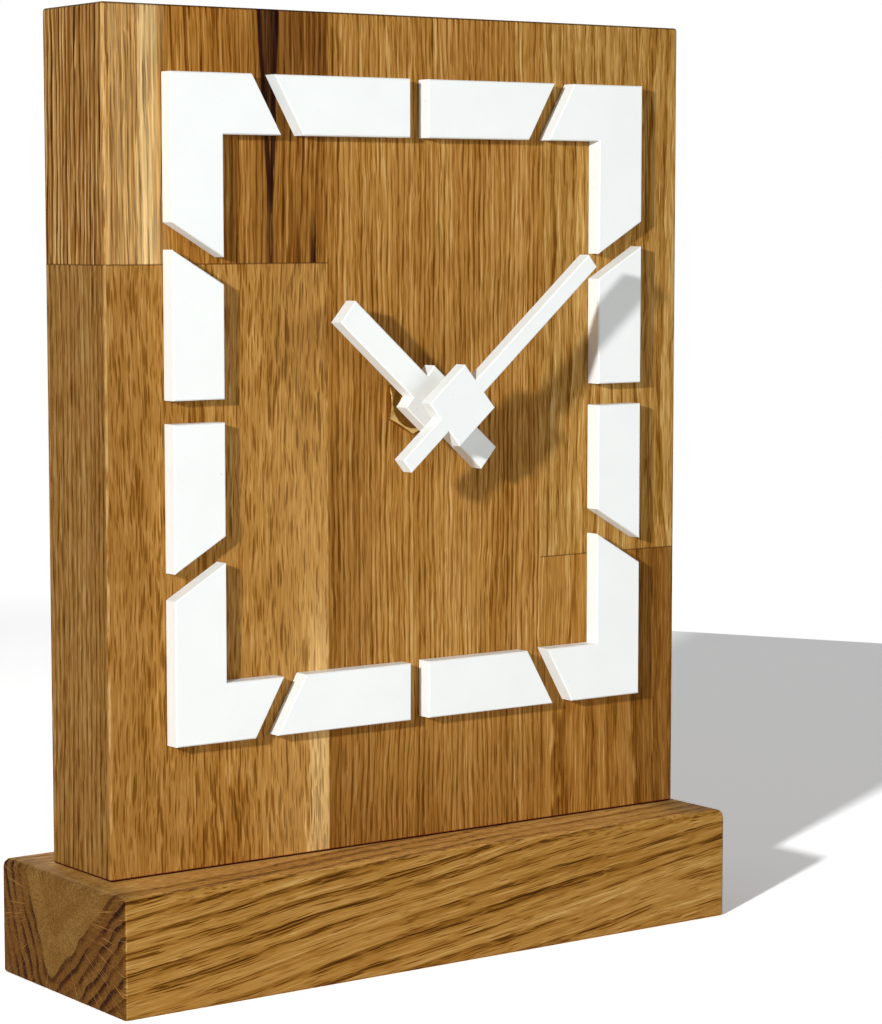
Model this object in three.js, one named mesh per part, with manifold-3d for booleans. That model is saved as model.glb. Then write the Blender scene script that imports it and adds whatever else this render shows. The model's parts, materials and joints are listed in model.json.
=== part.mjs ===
// Small table clock: a block of glued oak staves on an oak base, with a dial frame of twelve white
// markers, two white hands and a battery quartz movement let into a pocket in the back.
// Millimetres, +Z up, front towards -Y, origin at the centre of the base's underside.
import * as THREE from "three";
import { mergeVertices } from "three/addons/utils/BufferGeometryUtils.js";
import Module from "manifold-3d";

const wasm = await Module();
wasm.setup();

// Oak block and base
const clockHeight = 228;
const blockWidth = 170;
const blockThickness = 27;
const blockEase = 0.7;
const baseWidth = 180;
const baseDepth = 57;
const baseHeight = 28;
const baseTopRound = 2.2;
const baseFootEase = 0.8;
const baseCornerRound = 0.9;
const leastCornerRound = 0.2;
const blockShiftRight = 1.5;
const blockShiftBack = 1.7;
const leftJointShare = 0.359;
const rightJointShare = 0.74;
const leftButtShare = 0.7065;
const rightButtShare = 0.3355;

// Screws and dowels between block and base
const screwRadius = 2;
const screwHeadRadius = 3.9;
const screwHeadHeight = 2.6;
const screwLength = 42;
const screwTipLength = 4;
const screwHoleDepth = 8;
const screwEndDistance = 27;
const dowelRadius = 4;
const dowelLength = 30;
const dowelSpacing = 34;
const dowelEndGap = 0.6;
const holeClearance = 0.06;

// Dial frame and markers
const dialMargin = 15.2;
const dialWidth = 139.2;
const dialHeight = 154.4;
const markerBand = 13.9;
const markerGap = 5.4;
const markerThickness = 4.4;
const markerEase = 0.25;

// Hands
const hourHandLength = 34.1;
const hourHandWidth = 6.7;
const hourHandThickness = 4.3;
const hourHubSide = 13;
const hourTailLength = 20.9;
const hourHandAngle = -49;
const hourHandStandoff = 6.95;
const minuteHandLength = 52.1;
const minuteHandWidth = 3.9;
const minuteHandThickness = 3.9;
const minuteHubSide = 13.7;
const minuteTailLength = 21.1;
const minuteHandAngle = 49.6;
const handGap = 6.35;
const handEase = 0.25;
const minuteBoreShare = 0.75;

// Shaft stack, from the inside out
const runningClearance = 0.04;
const secondsArborRadius = 0.5;
const minuteArborRadius = 1.7;
const hourTubeWall = 0.75;
const bushWall = 1.45;
const bushProud = 0.8;
const flangeLip = 2;
const flangeThickness = 1;
const nutAcrossFlats = 13.5;
const nutThickness = 2.2;
const nutFaceShare = 0.96;
const nutChamferAngle = 30;
const tubeRecess = 0.5;
const shaftHoleClearance = 1;

// Pocket, gasket and movement case
const frontWall = 5.5;
const pocketClearance = 3;
const pocketCornerRadius = 4;
const gasketThickness = 0.8;
const gasketWidth = 4.5;
const caseWall = 1.2;
const caseCornerRadius = 2;
const coverRebate = 0.6;
const coverClearance = 0.1;
const batteryLength = 50.5;
const batteryDiameter = 14.5;
const batteryPlay = 0.3;
const batteryNubRadius = 2.75;
const batteryNubLength = 1;
const batteryRimRadius = 0.8;
const contactRoom = 1.55;
const contactThickness = 0.4;
const contactGap = 0.12;
const contactWidth = 7;
const contactBumpLength = 8;

// Gear train
const setModule = 0.45;
const trainModule = 0.27;
const arborRadius = 0.5;
const arborGap = 0.4;
const driveSeatRadius = 1.15;
const studRadius = 0.8;
const bossRadius = 1.4;
const pivotDepth = 0.7;
const magnetRadius = 2.4;
const knobRadius = 5;
const knobThickness = 3;
const knobGap = 0.3;
const knobArborRadius = 1.2;
const teeth = {
  cannon: 10,
  transferWheel: 30,
  transferPinion: 8,
  hourWheel: 32,
  knob: 10,
  driveWheel: 64,
  thirdPinion: 8,
  thirdWheel: 60,
  secondsPinion: 8,
  secondsWheel: 50,
  stepPinion: 10,
  stepWheel: 48,
  rotorPinion: 8,
};
const layerCount = 8.5;
const layerLeadShare = 0.2;
const gearThicknessShare = 0.7;
const bridgeThicknessShare = 0.6;
const wheelAddendumShare = 0.85;
const wheelDedendumShare = 1.15;
const pinionAddendumShare = 0.75;
const toothWidthShare = 0.43;
const pinionToothWidthShare = 0.4;
const tipWidthShare = 0.5;
const thirdDirection = 30;
const stepDirection = 95;
const rotorDirection = 70;
const transferDirection = 165;
const knobDirection = 135;

// Bridge, circuit board, coil and stator
const postRadius = 1.3;
const postInset = 3.2;
const bridgeMargin = 1;
const boardHeight = 7;
const boardThickness = 0.8;
const boardGap = 0.3;
const chipWidth = 6;
const chipHeight = 0.9;
const crystalRadius = 1;
const crystalLength = 6;
const statorThickness = 0.8;
const statorWidth = 26.5;
const statorLimb = 2.2;
const statorRim = 1.2;
const rotorGap = 0.35;
const coilRadius = 3;
const coilLength = 12;
const bobbinFlange = 0.8;
const bobbinWall = 0.5;

// Cutting overrun, the distance under which two points are one, and the share that counts as none
const overrun = 2;
const weldDistance = 0.0004;
const leastShare = 1e-9;

// Counts of facets
const turnFacets = 24;
const shaftFacets = 16;
const edgeFacets = 3;
const nutSides = 6;
const hourCount = 12;

// Angles in degrees
const halfTurn = 180;
const quarterTurn = halfTurn / 2;
const hourAngle = (2 * halfTurn) / hourCount;
const degree = Math.PI / halfTurn;
const onePoint = (x, y) => new THREE.Vector2(x, y);

// Places worked out from the sizes, in the dial's own frame: x to the right and y up as seen from
// the front, z out of the oak face. The face is at z = 0 and the shaft at x = y = 0.
const blockHeight = clockHeight - baseHeight;
const dialCentreHeight = clockHeight - dialMargin - dialHeight / 2;
const hourHandFront = hourHandStandoff + hourHandThickness;
const minuteHandBack = hourHandFront + handGap;
const minuteArborFront = minuteHandBack + minuteHandThickness * minuteBoreShare;
const minuteBoreRadius = secondsArborRadius + runningClearance;
const hourTubeBore = minuteArborRadius + runningClearance;
const hourTubeRadius = hourTubeBore + hourTubeWall;
const bushBore = hourTubeRadius + runningClearance;
const bushRadius = bushBore + bushWall;
const pocketFloor = -frontWall;
const caseFace = pocketFloor - gasketThickness;
const caseFloor = caseFace - caseWall;
const caseSide = batteryLength + 2 * (contactRoom + caseWall);
const caseDepth = caseWall + batteryPlay + batteryDiameter;
const caseBack = caseFace - caseDepth;
const coverInner = caseBack + caseWall;
const roomHalf = caseSide / 2 - caseWall;
const batteryHeight = -roomHalf + batteryPlay + batteryDiameter / 2;
const ribLow = batteryHeight + batteryDiameter / 2 + batteryPlay;
const ribHigh = ribLow + caseWall;
const layerPitch = (caseFloor - flangeThickness - coverInner) / layerCount;
const gearThickness = gearThicknessShare * layerPitch;

// The front face of a gear layer, counted from 0 behind the bush's flange.
function layerFront(layer) {
  return caseFloor - flangeThickness - (layer + layerLeadShare) * layerPitch;
}

const bridgeFront = layerFront(6);
const bridgeBack = bridgeFront - bridgeThicknessShare * layerPitch;

// A point at a distance and a direction in degrees from another.
function polar(from, distance, direction) {
  return onePoint(
    from.x + distance * Math.cos(direction * degree),
    from.y + distance * Math.sin(direction * degree),
  );
}

// Centre distances. The drive wheel shares the shaft with the seconds wheel, so its module follows
// from the third wheel's distance, and the step wheel's arbor passes just outside the drive wheel.
const shaft = onePoint(0, 0);
const transferDistance = ((teeth.cannon + teeth.transferWheel) / 2) * setModule;
const knobDistance = ((teeth.knob + teeth.transferWheel) / 2) * setModule;
const thirdDistance = ((teeth.thirdWheel + teeth.secondsPinion) / 2) * trainModule;
const driveModule = (2 * thirdDistance) / (teeth.driveWheel + teeth.thirdPinion);
const driveTip = (teeth.driveWheel / 2 + wheelAddendumShare) * driveModule;
const stepDistance = driveTip + arborRadius + arborGap;
const stepModule = (2 * stepDistance) / (teeth.secondsWheel + teeth.stepPinion);
const rotorDistance = ((teeth.stepWheel + teeth.rotorPinion) / 2) * trainModule;
const transferAxis = polar(shaft, transferDistance, transferDirection);
const knobAxis = polar(transferAxis, knobDistance, knobDirection);
const thirdAxis = polar(shaft, thirdDistance, thirdDirection);
const stepAxis = polar(shaft, stepDistance, stepDirection);
const rotorAxis = polar(stepAxis, rotorDistance, rotorDirection);

const sidePostX = roomHalf - postInset;
const boardLow = ribHigh + boardGap;
const boardPostY = boardLow + boardHeight / 2;
const bridgePosts = [
  onePoint(-sidePostX, boardLow + boardHeight + postRadius + bridgeMargin + boardGap),
  onePoint(sidePostX, boardLow + boardHeight + postRadius + bridgeMargin + boardGap),
  onePoint(sidePostX / 2, roomHalf - 2 * postInset),
];
const boardPosts = [onePoint(-sidePostX, boardPostY), onePoint(sidePostX, boardPostY)];

const rotorHoleRadius = magnetRadius + rotorGap;
const coreY = roomHalf - coilRadius - batteryPlay;
const statorRight = rotorAxis.x + rotorHoleRadius + statorRim;
const statorLeft = statorRight - statorWidth;
const statorLow = rotorAxis.y - rotorHoleRadius - statorRim;
const statorHigh = coreY + statorLimb / 2;
const statorFront = layerFront(4);
const statorBack = statorFront - statorThickness;
const windowLeft = statorLeft + statorLimb;
const windowRight = rotorAxis.x - rotorHoleRadius - statorRim;
const coilX = (windowLeft + windowRight) / 2;
const coreZ = statorBack - statorThickness / 2;

// Solids: a closed geometry as a solid to join and cut, and back again.
function toSolid(geometry) {
  const bare = geometry.clone();
  bare.deleteAttribute("normal");
  bare.deleteAttribute("uv");
  const merged = mergeVertices(bare, weldDistance);
  const triangles = [];
  const index = merged.index.array;
  for (let i = 0; i < index.length; i += 3) {
    const [a, b, c] = [index[i], index[i + 1], index[i + 2]];
    if (a !== b && b !== c && c !== a) triangles.push(a, b, c);
  }
  const mesh = new wasm.Mesh({
    numProp: 3,
    vertProperties: new Float32Array(merged.attributes.position.array),
    triVerts: new Uint32Array(triangles),
  });
  return new wasm.Manifold(mesh);
}

function toGeometry(solid) {
  const mesh = solid.getMesh();
  const positions = new THREE.BufferAttribute(new Float32Array(mesh.vertProperties), 3);
  const geometry = new THREE.BufferGeometry().setAttribute("position", positions);
  geometry.setIndex(new THREE.BufferAttribute(new Uint32Array(mesh.triVerts), 1));
  const flat = geometry.toNonIndexed();
  flat.computeVertexNormals();
  return flat;
}

function join(first, ...others) {
  return others.reduce((sum, solid) => sum.add(solid), first);
}

function cut(first, ...others) {
  return others.reduce((rest, solid) => rest.subtract(solid), first);
}

// A box between two corners.
function boxSolid(low, high) {
  const size = high.map((value, axis) => value - low[axis]);
  const middle = high.map((value, axis) => (value + low[axis]) / 2);
  return toSolid(new THREE.BoxGeometry(...size).translate(...middle));
}

// A round bar along z at a point of the dial frame, from z = back to z = front.
function barSolid(centre, radius, back, front, facets = shaftFacets) {
  const bar = new THREE.CylinderGeometry(radius, radius, front - back, facets);
  bar.rotateX(Math.PI / 2).translate(centre.x, centre.y, (front + back) / 2);
  return toSolid(bar);
}

// A bore whose flats, not its corners, lie at the radius, so that a bar of that radius fits in.
function boreSolid(centre, radius, back, front, facets = shaftFacets) {
  return barSolid(centre, radius / Math.cos(Math.PI / facets), back, front, facets);
}

// A solid of revolution about z from its half outline, given as radius and height pairs.
function turnedSolid(outline, facets = turnFacets) {
  const points = outline.map(([radius, height]) => onePoint(radius, height));
  return toSolid(new THREE.LatheGeometry(points, facets).rotateX(Math.PI / 2));
}

// A flat plate with eased edges, from its outline in the dial frame, standing from back to front.
function plateGeometry(outline, back, thickness, ease = 0) {
  const plate = new THREE.ExtrudeGeometry(new THREE.Shape(outline), {
    depth: thickness - 2 * ease,
    bevelEnabled: ease > 0,
    bevelThickness: ease,
    bevelSize: ease,
    bevelOffset: -ease,
    bevelSegments: 1,
    steps: 1,
  });
  return plate.translate(0, 0, back + ease);
}

// The points of a rectangle with round corners, counter-clockwise, with its centre at the origin.
function roundedRectangle(width, height, radius) {
  const limited = Math.min(radius, width / 2, height / 2);
  const corners = [
    [1, 1],
    [-1, 1],
    [-1, -1],
    [1, -1],
  ];
  return corners.flatMap(([sx, sy], corner) =>
    Array.from({ length: edgeFacets + 1 }, (_, i) => {
      const centre = onePoint(sx * (width / 2 - limited), sy * (height / 2 - limited));
      return polar(centre, limited, quarterTurn * (corner + i / edgeFacets));
    }),
  );
}

// A block that stands on z = 0, with round vertical corners, its top edges rounded and its bottom
// edges eased. It is a loft through rounded rectangles that are drawn in towards both ends.
function easedBlock(width, depth, height, topRadius, bottomRadius, cornerRadius) {
  const turns = Array.from({ length: edgeFacets + 1 }, (_, i) => (quarterTurn * i * degree) / edgeFacets);
  const rings = [
    ...turns.map((turn) => [bottomRadius * (1 - Math.sin(turn)), bottomRadius * (1 - Math.cos(turn))]),
    ...turns.map((turn) => [
      topRadius * (1 - Math.cos(turn)),
      height - topRadius * (1 - Math.sin(turn)),
    ]),
  ];
  const outlines = rings.map(([inset, level]) => {
    const radius = Math.max(cornerRadius - inset, leastCornerRound);
    const outline = roundedRectangle(width - 2 * inset, depth - 2 * inset, radius);
    return outline.map((point) => [point.x, point.y, level]);
  });
  const count = outlines[0].length;
  const positions = [...outlines.flat(), [0, 0, 0], [0, 0, height]].flat();
  const bottomCentre = outlines.length * count;
  const topCentre = bottomCentre + 1;
  const lastRing = (outlines.length - 1) * count;
  const triangles = [];
  for (let i = 0; i < count; i++) {
    const next = (i + 1) % count;
    triangles.push(bottomCentre, next, i, topCentre, lastRing + i, lastRing + next);
    for (let ring = 0; ring < lastRing; ring += count) {
      triangles.push(ring + i, ring + next, ring + count + next);
      triangles.push(ring + i, ring + count + next, ring + count + i);
    }
  }
  const geometry = new THREE.BufferGeometry();
  geometry.setAttribute("position", new THREE.Float32BufferAttribute(positions, 3));
  geometry.setIndex(triangles);
  return toSolid(geometry);
}

// Gears. A wheel's tooth is a trapezium; a pinion's leaf has radial flanks below the pitch circle
// and draws in above it, as a clockmaker's does. The phase turns the first tooth off the x axis.
function gearOutline(count, module, phase, isPinion) {
  const pitch = (count * module) / 2;
  const addendum = (isPinion ? pinionAddendumShare : wheelAddendumShare) * module;
  const tip = pitch + addendum;
  const root = pitch - wheelDedendumShare * module;
  const step = (2 * Math.PI) / count;
  const widthShare = isPinion ? pinionToothWidthShare : toothWidthShare;
  const half = (widthShare * step) / 2;
  const flank = isPinion
    ? [
        [root, half],
        [pitch, half],
        [tip, half * tipWidthShare],
      ]
    : [
        [root, half + (half * (1 - tipWidthShare) * (pitch - root)) / addendum / 2],
        [tip, half * tipWidthShare],
      ];
  const profile = [
    ...flank.map(([radius, angle]) => [radius, -angle]),
    ...[...flank].reverse(),
  ];
  return Array.from({ length: count }, (_, tooth) =>
    profile.map(([radius, angle]) =>
      polar(shaft, radius, (phase + tooth * step + angle) / degree),
    ),
  ).flat();
}

function gearSolid(count, module, phase, front, back, isPinion = false) {
  return toSolid(plateGeometry(gearOutline(count, module, phase, isPinion), back, front - back));
}

// The phase that puts a gear in mesh with a driver whose phase is known. The driven gear lies in
// the given direction from the driver, and has a gap where the driver has a tooth.
function meshedPhase(driverPhase, driverTeeth, drivenTeeth, direction) {
  const towards = direction * degree;
  const turned = (driverPhase - towards) * (driverTeeth / drivenTeeth);
  return towards + Math.PI - Math.PI / drivenTeeth - turned;
}

const cannonPhase = 0;
const transferPhase = meshedPhase(cannonPhase, teeth.cannon, teeth.transferWheel, transferDirection);
const knobPhase = meshedPhase(transferPhase, teeth.transferWheel, teeth.knob, knobDirection);
const hourPhase = meshedPhase(0, teeth.transferPinion, teeth.hourWheel, transferDirection + halfTurn);
const stepPhase = 0;
const rotorPhase = meshedPhase(stepPhase, teeth.stepWheel, teeth.rotorPinion, rotorDirection);
const secondsPhase = meshedPhase(0, teeth.stepPinion, teeth.secondsWheel, stepDirection + halfTurn);
const thirdPhase = meshedPhase(0, teeth.secondsPinion, teeth.thirdWheel, thirdDirection);
const drivePhase = meshedPhase(0, teeth.thirdPinion, teeth.driveWheel, thirdDirection + halfTurn);

// Materials
function plastic(colour, roughness = 0.5) {
  return new THREE.MeshStandardMaterial({ color: colour, roughness, metalness: 0 });
}

function metal(colour, roughness = 0.3) {
  return new THREE.MeshStandardMaterial({ color: colour, roughness, metalness: 1 });
}

const lightOak = plastic(0xc39a62);
const goldenOak = plastic(0xb68447);
const honeyOak = plastic(0xa97a42);
const brownOak = plastic(0xa5723a);
const baseOak = plastic(0xb0804a);
const whitePlastic = plastic(0xf4f4f2, 0.4);
const blackPlastic = plastic(0x1c1c1e, 0.55);
const gearPlastic = plastic(0xe8e2cf, 0.45);
const rubber = plastic(0x202020, 0.9);
const beech = plastic(0xd9b88a);
const boardGreen = plastic(0x3c7046);
const brass = metal(0xd4a94e, 0.22);
const steel = metal(0xb9bcc0, 0.35);
const nickel = metal(0xcfcfcb, 0.28);
const copper = metal(0xb8683a, 0.4);
const magnetGrey = metal(0x5a5a5e, 0.5);
const sleeve = plastic(0x2c3a34, 0.35);

const clock = new THREE.Group();
const dial = new THREE.Group();
dial.rotation.x = Math.PI / 2;
dial.position.set(blockShiftRight, blockShiftBack - blockThickness / 2, dialCentreHeight);
clock.add(dial);

function addPiece(parent, name, geometry, material, place = shaft) {
  const piece = new THREE.Mesh(geometry, material);
  piece.name = name;
  piece.position.set(place.x, place.y, 0);
  parent.add(piece);
}

// Block: one eased block, pocketed and drilled, then parted into five staves along its glue lines.
const blockLeft = blockShiftRight - blockWidth / 2;
const blockFront = blockShiftBack - blockThickness / 2;
const blockBack = blockFront + blockThickness;
const screwXs = [-1, 1].map((side) => blockShiftRight + side * (blockWidth / 2 - screwEndDistance));
const dowelXs = [-1, 1].map((side) => blockShiftRight + (side * dowelSpacing) / 2);

// A round hole or bar that stands upright on the line between block and base.
function uprightSolid(x, radius, low, high, facets = turnFacets) {
  const bar = new THREE.CylinderGeometry(radius, radius, high - low, facets);
  return toSolid(bar.rotateX(Math.PI / 2).translate(x, blockShiftBack, (low + high) / 2));
}

const screwTop = screwHoleDepth + screwLength;
const dowelLow = baseHeight - dowelLength / 2;
const dowelHigh = baseHeight + dowelLength / 2;

function pocketSolid() {
  const side = caseSide + 2 * pocketClearance;
  const outline = roundedRectangle(side, side, pocketCornerRadius);
  const depth = blockThickness - frontWall;
  const pocket = plateGeometry(outline, -blockThickness - overrun, depth + overrun);
  return toSolid(pocket);
}

function dialToRow(solid) {
  const turned = toGeometry(solid).rotateX(Math.PI / 2);
  return toSolid(turned.translate(blockShiftRight, blockFront, dialCentreHeight));
}

function makeBlock() {
  const whole = easedBlock(blockWidth, blockThickness, blockHeight, blockEase, blockEase, blockEase);
  const shaftHole = boreSolid(
    shaft,
    bushRadius + shaftHoleClearance,
    -frontWall - overrun,
    overrun,
    turnFacets,
  );
  const drilled = [
    ...screwXs.map((x) =>
      uprightSolid(x, screwRadius + holeClearance, baseHeight - overrun, screwTop + holeClearance),
    ),
    ...dowelXs.map((x) =>
      uprightSolid(x, dowelRadius + holeClearance, baseHeight - overrun, dowelHigh + dowelEndGap),
    ),
  ];
  return cut(
    whole.translate([blockShiftRight, blockShiftBack, baseHeight]),
    dialToRow(pocketSolid()),
    dialToRow(shaftHole),
    ...drilled,
  );
}

const leftJoint = blockLeft + leftJointShare * blockWidth;
const rightJoint = blockLeft + rightJointShare * blockWidth;
const leftButt = baseHeight + leftButtShare * blockHeight;
const rightButt = baseHeight + rightButtShare * blockHeight;
const farLeft = blockLeft - overrun;
const farRight = blockLeft + blockWidth + overrun;
const belowBlock = baseHeight - overrun;
const aboveBlock = clockHeight + overrun;
const staves = [
  ["stave_left_lower", honeyOak, farLeft, leftJoint, belowBlock, leftButt],
  ["stave_left_upper", lightOak, farLeft, leftJoint, leftButt, aboveBlock],
  ["stave_centre", brownOak, leftJoint, rightJoint, belowBlock, aboveBlock],
  ["stave_right_lower", goldenOak, rightJoint, farRight, belowBlock, rightButt],
  ["stave_right_upper", honeyOak, rightJoint, farRight, rightButt, aboveBlock],
];
const block = makeBlock();
for (const [name, material, left, right, low, high] of staves) {
  const region = boxSolid([left, blockFront - overrun, low], [right, blockBack + overrun, high]);
  addPiece(clock, name, toGeometry(block.intersect(region)), material);
}

// Base, bored from below for the screws and from above for the dowels.
function makeBase() {
  const whole = easedBlock(
    baseWidth,
    baseDepth,
    baseHeight,
    baseTopRound,
    baseFootEase,
    baseCornerRound,
  );
  const holes = [
    ...screwXs.map((x) =>
      uprightSolid(x, screwRadius + holeClearance, -overrun, baseHeight + overrun),
    ),
    ...screwXs.map((x) =>
      uprightSolid(x, screwHeadRadius + holeClearance, -overrun, screwHoleDepth + screwHeadHeight),
    ),
    ...dowelXs.map((x) =>
      uprightSolid(x, dowelRadius + holeClearance, dowelLow - dowelEndGap, baseHeight + overrun),
    ),
  ];
  return cut(whole, ...holes);
}

addPiece(clock, "base_block", toGeometry(makeBase()), baseOak);

const screwOutline = [
  [0, 0],
  [screwHeadRadius, 0],
  [screwHeadRadius, screwHeadHeight],
  [screwRadius, screwHeadHeight],
  [screwRadius, screwLength - screwTipLength],
  [0, screwLength],
];
const dowelEase = dowelEndGap;
const dowelOutline = [
  [0, 0],
  [dowelRadius - dowelEase, 0],
  [dowelRadius, dowelEase],
  [dowelRadius, dowelLength - dowelEase],
  [dowelRadius - dowelEase, dowelLength],
  [0, dowelLength],
];
["left", "right"].forEach((side, i) => {
  const screw = toGeometry(turnedSolid(screwOutline, shaftFacets));
  screw.translate(screwXs[i], blockShiftBack, screwHoleDepth);
  addPiece(clock, `body_screw_${side}`, screw, steel);
  const dowel = toGeometry(turnedSolid(dowelOutline));
  dowel.translate(dowelXs[i], blockShiftBack, dowelLow);
  addPiece(clock, `dowel_${side}`, dowel, beech);
});

// Markers: a rectangular frame parted at the twelve hours by gaps that point at the shaft. A gap's
// side is a line beside the hour's ray, and it is followed out to the frame's inner or outer edge.
function gapSide(hour, side, halfWidth, halfHeight) {
  const angle = hour * hourAngle * degree;
  const along = onePoint(Math.sin(angle), Math.cos(angle));
  const across = onePoint(Math.cos(angle), -Math.sin(angle)).multiplyScalar((side * markerGap) / 2);
  const toSide = (Math.sign(along.x) * halfWidth - across.x) / along.x;
  const toTop = (Math.sign(along.y) * halfHeight - across.y) / along.y;
  const isLevel = Math.abs(along.y) < leastShare;
  const isUpright = Math.abs(along.x) < leastShare;
  const meetsSide = isLevel || (!isUpright && toSide < toTop);
  const point = across.clone().add(along.multiplyScalar(meetsSide ? toSide : toTop));
  return { point, meetsSide };
}

// The part of one edge of the frame between two hours, with the corner if it goes round one.
function frameEdge(hour, halfWidth, halfHeight) {
  const start = gapSide(hour, 1, halfWidth, halfHeight);
  const end = gapSide(hour + 1, -1, halfWidth, halfHeight);
  const corner = onePoint(
    Math.sign(start.point.x + end.point.x) * halfWidth,
    Math.sign(start.point.y + end.point.y) * halfHeight,
  );
  return start.meetsSide === end.meetsSide
    ? [start.point, end.point]
    : [start.point, corner, end.point];
}

for (let hour = 0; hour < hourCount; hour++) {
  const outer = frameEdge(hour, dialWidth / 2, dialHeight / 2);
  const inner = frameEdge(hour, dialWidth / 2 - markerBand, dialHeight / 2 - markerBand);
  const marker = plateGeometry([...outer, ...inner.reverse()], 0, markerThickness, markerEase);
  addPiece(dial, `marker_${hour || hourCount}_to_${hour + 1}`, marker, whitePlastic);
}

// Hands: a square bar, a square hub in line with it and a short tail, cut from one plate.
function handSolid(length, width, hub, tail, back, thickness, angle) {
  const [halfBar, halfHub] = [width / 2, hub / 2];
  const side = [
    [halfBar, length],
    [halfBar, halfHub],
    [halfHub, halfHub],
    [halfHub, -halfHub],
    [halfBar, -halfHub],
    [halfBar, -tail],
  ];
  const outline = [...side, ...[...side].reverse().map(([x, y]) => [-x, y])];
  const points = outline.map(([x, y]) => onePoint(x, y));
  const plate = plateGeometry(points, back, thickness, handEase);
  return toSolid(plate.rotateZ(-angle * degree));
}

const hourHand = cut(
  handSolid(
    hourHandLength,
    hourHandWidth,
    hourHubSide,
    hourTailLength,
    hourHandStandoff,
    hourHandThickness,
    hourHandAngle,
  ),
  boreSolid(shaft, hourTubeRadius + holeClearance, 0, hourHandFront + overrun),
);
addPiece(dial, "hour_hand", toGeometry(hourHand), whitePlastic);

const minuteHand = cut(
  handSolid(
    minuteHandLength,
    minuteHandWidth,
    minuteHubSide,
    minuteTailLength,
    minuteHandBack,
    minuteHandThickness,
    minuteHandAngle,
  ),
  boreSolid(shaft, minuteArborRadius + holeClearance, hourHandFront, minuteArborFront + holeClearance),
);
addPiece(dial, "minute_hand", toGeometry(minuteHand), whitePlastic);

// Nut, bush and gasket that clamp the movement to the block's front wall.
function makeNut() {
  const cornerRadius = nutAcrossFlats / 2 / Math.cos((halfTurn / nutSides) * degree);
  const hexagon = Array.from({ length: nutSides }, (_, i) => {
    const direction = quarterTurn + (2 * halfTurn * i) / nutSides;
    return polar(shaft, cornerRadius, direction);
  });
  const faceRadius = (nutAcrossFlats / 2) * nutFaceShare;
  const outside = cornerRadius + overrun;
  const drop = (outside - faceRadius) * Math.tan(nutChamferAngle * degree);
  const dome = turnedSolid([
    [0, -overrun],
    [outside, -overrun],
    [outside, nutThickness - drop],
    [faceRadius, nutThickness],
    [0, nutThickness],
  ]);
  const bore = boreSolid(shaft, bushRadius + holeClearance, -overrun, nutThickness + overrun, turnFacets);
  return cut(toSolid(plateGeometry(hexagon, 0, nutThickness)).intersect(dome), bore);
}

addPiece(dial, "hex_nut", toGeometry(makeNut()), brass);

const bush = cut(
  join(
    barSolid(shaft, bushRadius, caseFloor, nutThickness + bushProud, turnFacets),
    barSolid(shaft, bushRadius + flangeLip, caseFloor - flangeThickness, caseFloor, turnFacets),
  ),
  boreSolid(shaft, bushBore, caseFloor - flangeThickness - overrun, nutThickness + overrun),
);
addPiece(dial, "threaded_bush", toGeometry(bush), brass);

const gasketBore = bushRadius + shaftHoleClearance / 2;
const gasket = cut(
  barSolid(shaft, gasketBore + gasketWidth, caseFace, pocketFloor, turnFacets),
  boreSolid(shaft, gasketBore, caseFace - overrun, pocketFloor + overrun, turnFacets),
);
addPiece(dial, "gasket", toGeometry(gasket), rubber);

// Movement case: a tray with a battery bay below and the gear room above, its posts and bosses.
function makeCaseFront() {
  const shell = toSolid(
    plateGeometry(roundedRectangle(caseSide, caseSide, caseCornerRadius), caseBack, caseDepth),
  );
  const behind = caseBack - overrun;
  const room = boxSolid([-roomHalf, ribHigh, behind], [roomHalf, roomHalf, caseFloor]);
  const bay = boxSolid([-roomHalf, -roomHalf, behind], [roomHalf, ribLow, caseFloor]);
  const slots = [-1, 1].map((side) => {
    const inner = side * (roomHalf - contactRoom);
    const outer = side * roomHalf;
    return boxSolid(
      [Math.min(inner, outer), ribLow - caseWall, behind],
      [Math.max(inner, outer), ribHigh + caseWall, caseFloor],
    );
  });
  const rebate = boxSolid(
    [-roomHalf - coverRebate, ribLow + coverRebate, behind],
    [roomHalf + coverRebate, roomHalf + coverRebate, coverInner],
  );
  const inside = caseFloor + caseWall / 2;
  const posts = [
    ...bridgePosts.map((post) => barSolid(post, postRadius, bridgeFront, inside)),
    ...boardPosts.map((post) => barSolid(post, postRadius, bridgeFront, inside)),
    ...statorPosts.map((post) => barSolid(post, postRadius, statorFront, inside)),
    barSolid(transferAxis, studRadius, layerFront(1) - gearThickness, inside),
  ];
  const bossTop = caseFloor - flangeThickness;
  const bosses = [thirdAxis, stepAxis, rotorAxis, knobAxis];
  return cut(
    join(
      cut(shell, room, bay, ...slots, rebate),
      ...posts,
      ...bosses.map((axis) => barSolid(axis, bossRadius, bossTop, inside)),
    ),
    boreSolid(shaft, bushRadius + holeClearance, caseFloor - overrun, caseFace + overrun, turnFacets),
    ...bosses.map((axis) =>
      boreSolid(axis, arborRadius + runningClearance, bossTop - overrun, bossTop + pivotDepth),
    ),
  );
}

const statorPosts = [
  onePoint(statorRight - statorLimb, coreY),
  onePoint(statorLeft + statorLimb / 2, statorLow + statorLimb / 2),
];
addPiece(dial, "case_front", toGeometry(makeCaseFront()), blackPlastic);

const coverHalf = roomHalf + coverRebate - coverClearance;
const coverLow = ribLow + coverRebate + coverClearance;
const coverOutline = roundedRectangle(2 * coverHalf, coverHalf - coverLow, coverRebate).map((point) =>
  point.clone().add(onePoint(0, (coverHalf + coverLow) / 2)),
);
const cover = cut(
  toSolid(plateGeometry(coverOutline, caseBack, caseWall)),
  boreSolid(knobAxis, knobArborRadius + runningClearance, caseBack - overrun, coverInner + overrun),
);
addPiece(dial, "case_back", toGeometry(cover), blackPlastic);

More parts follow.
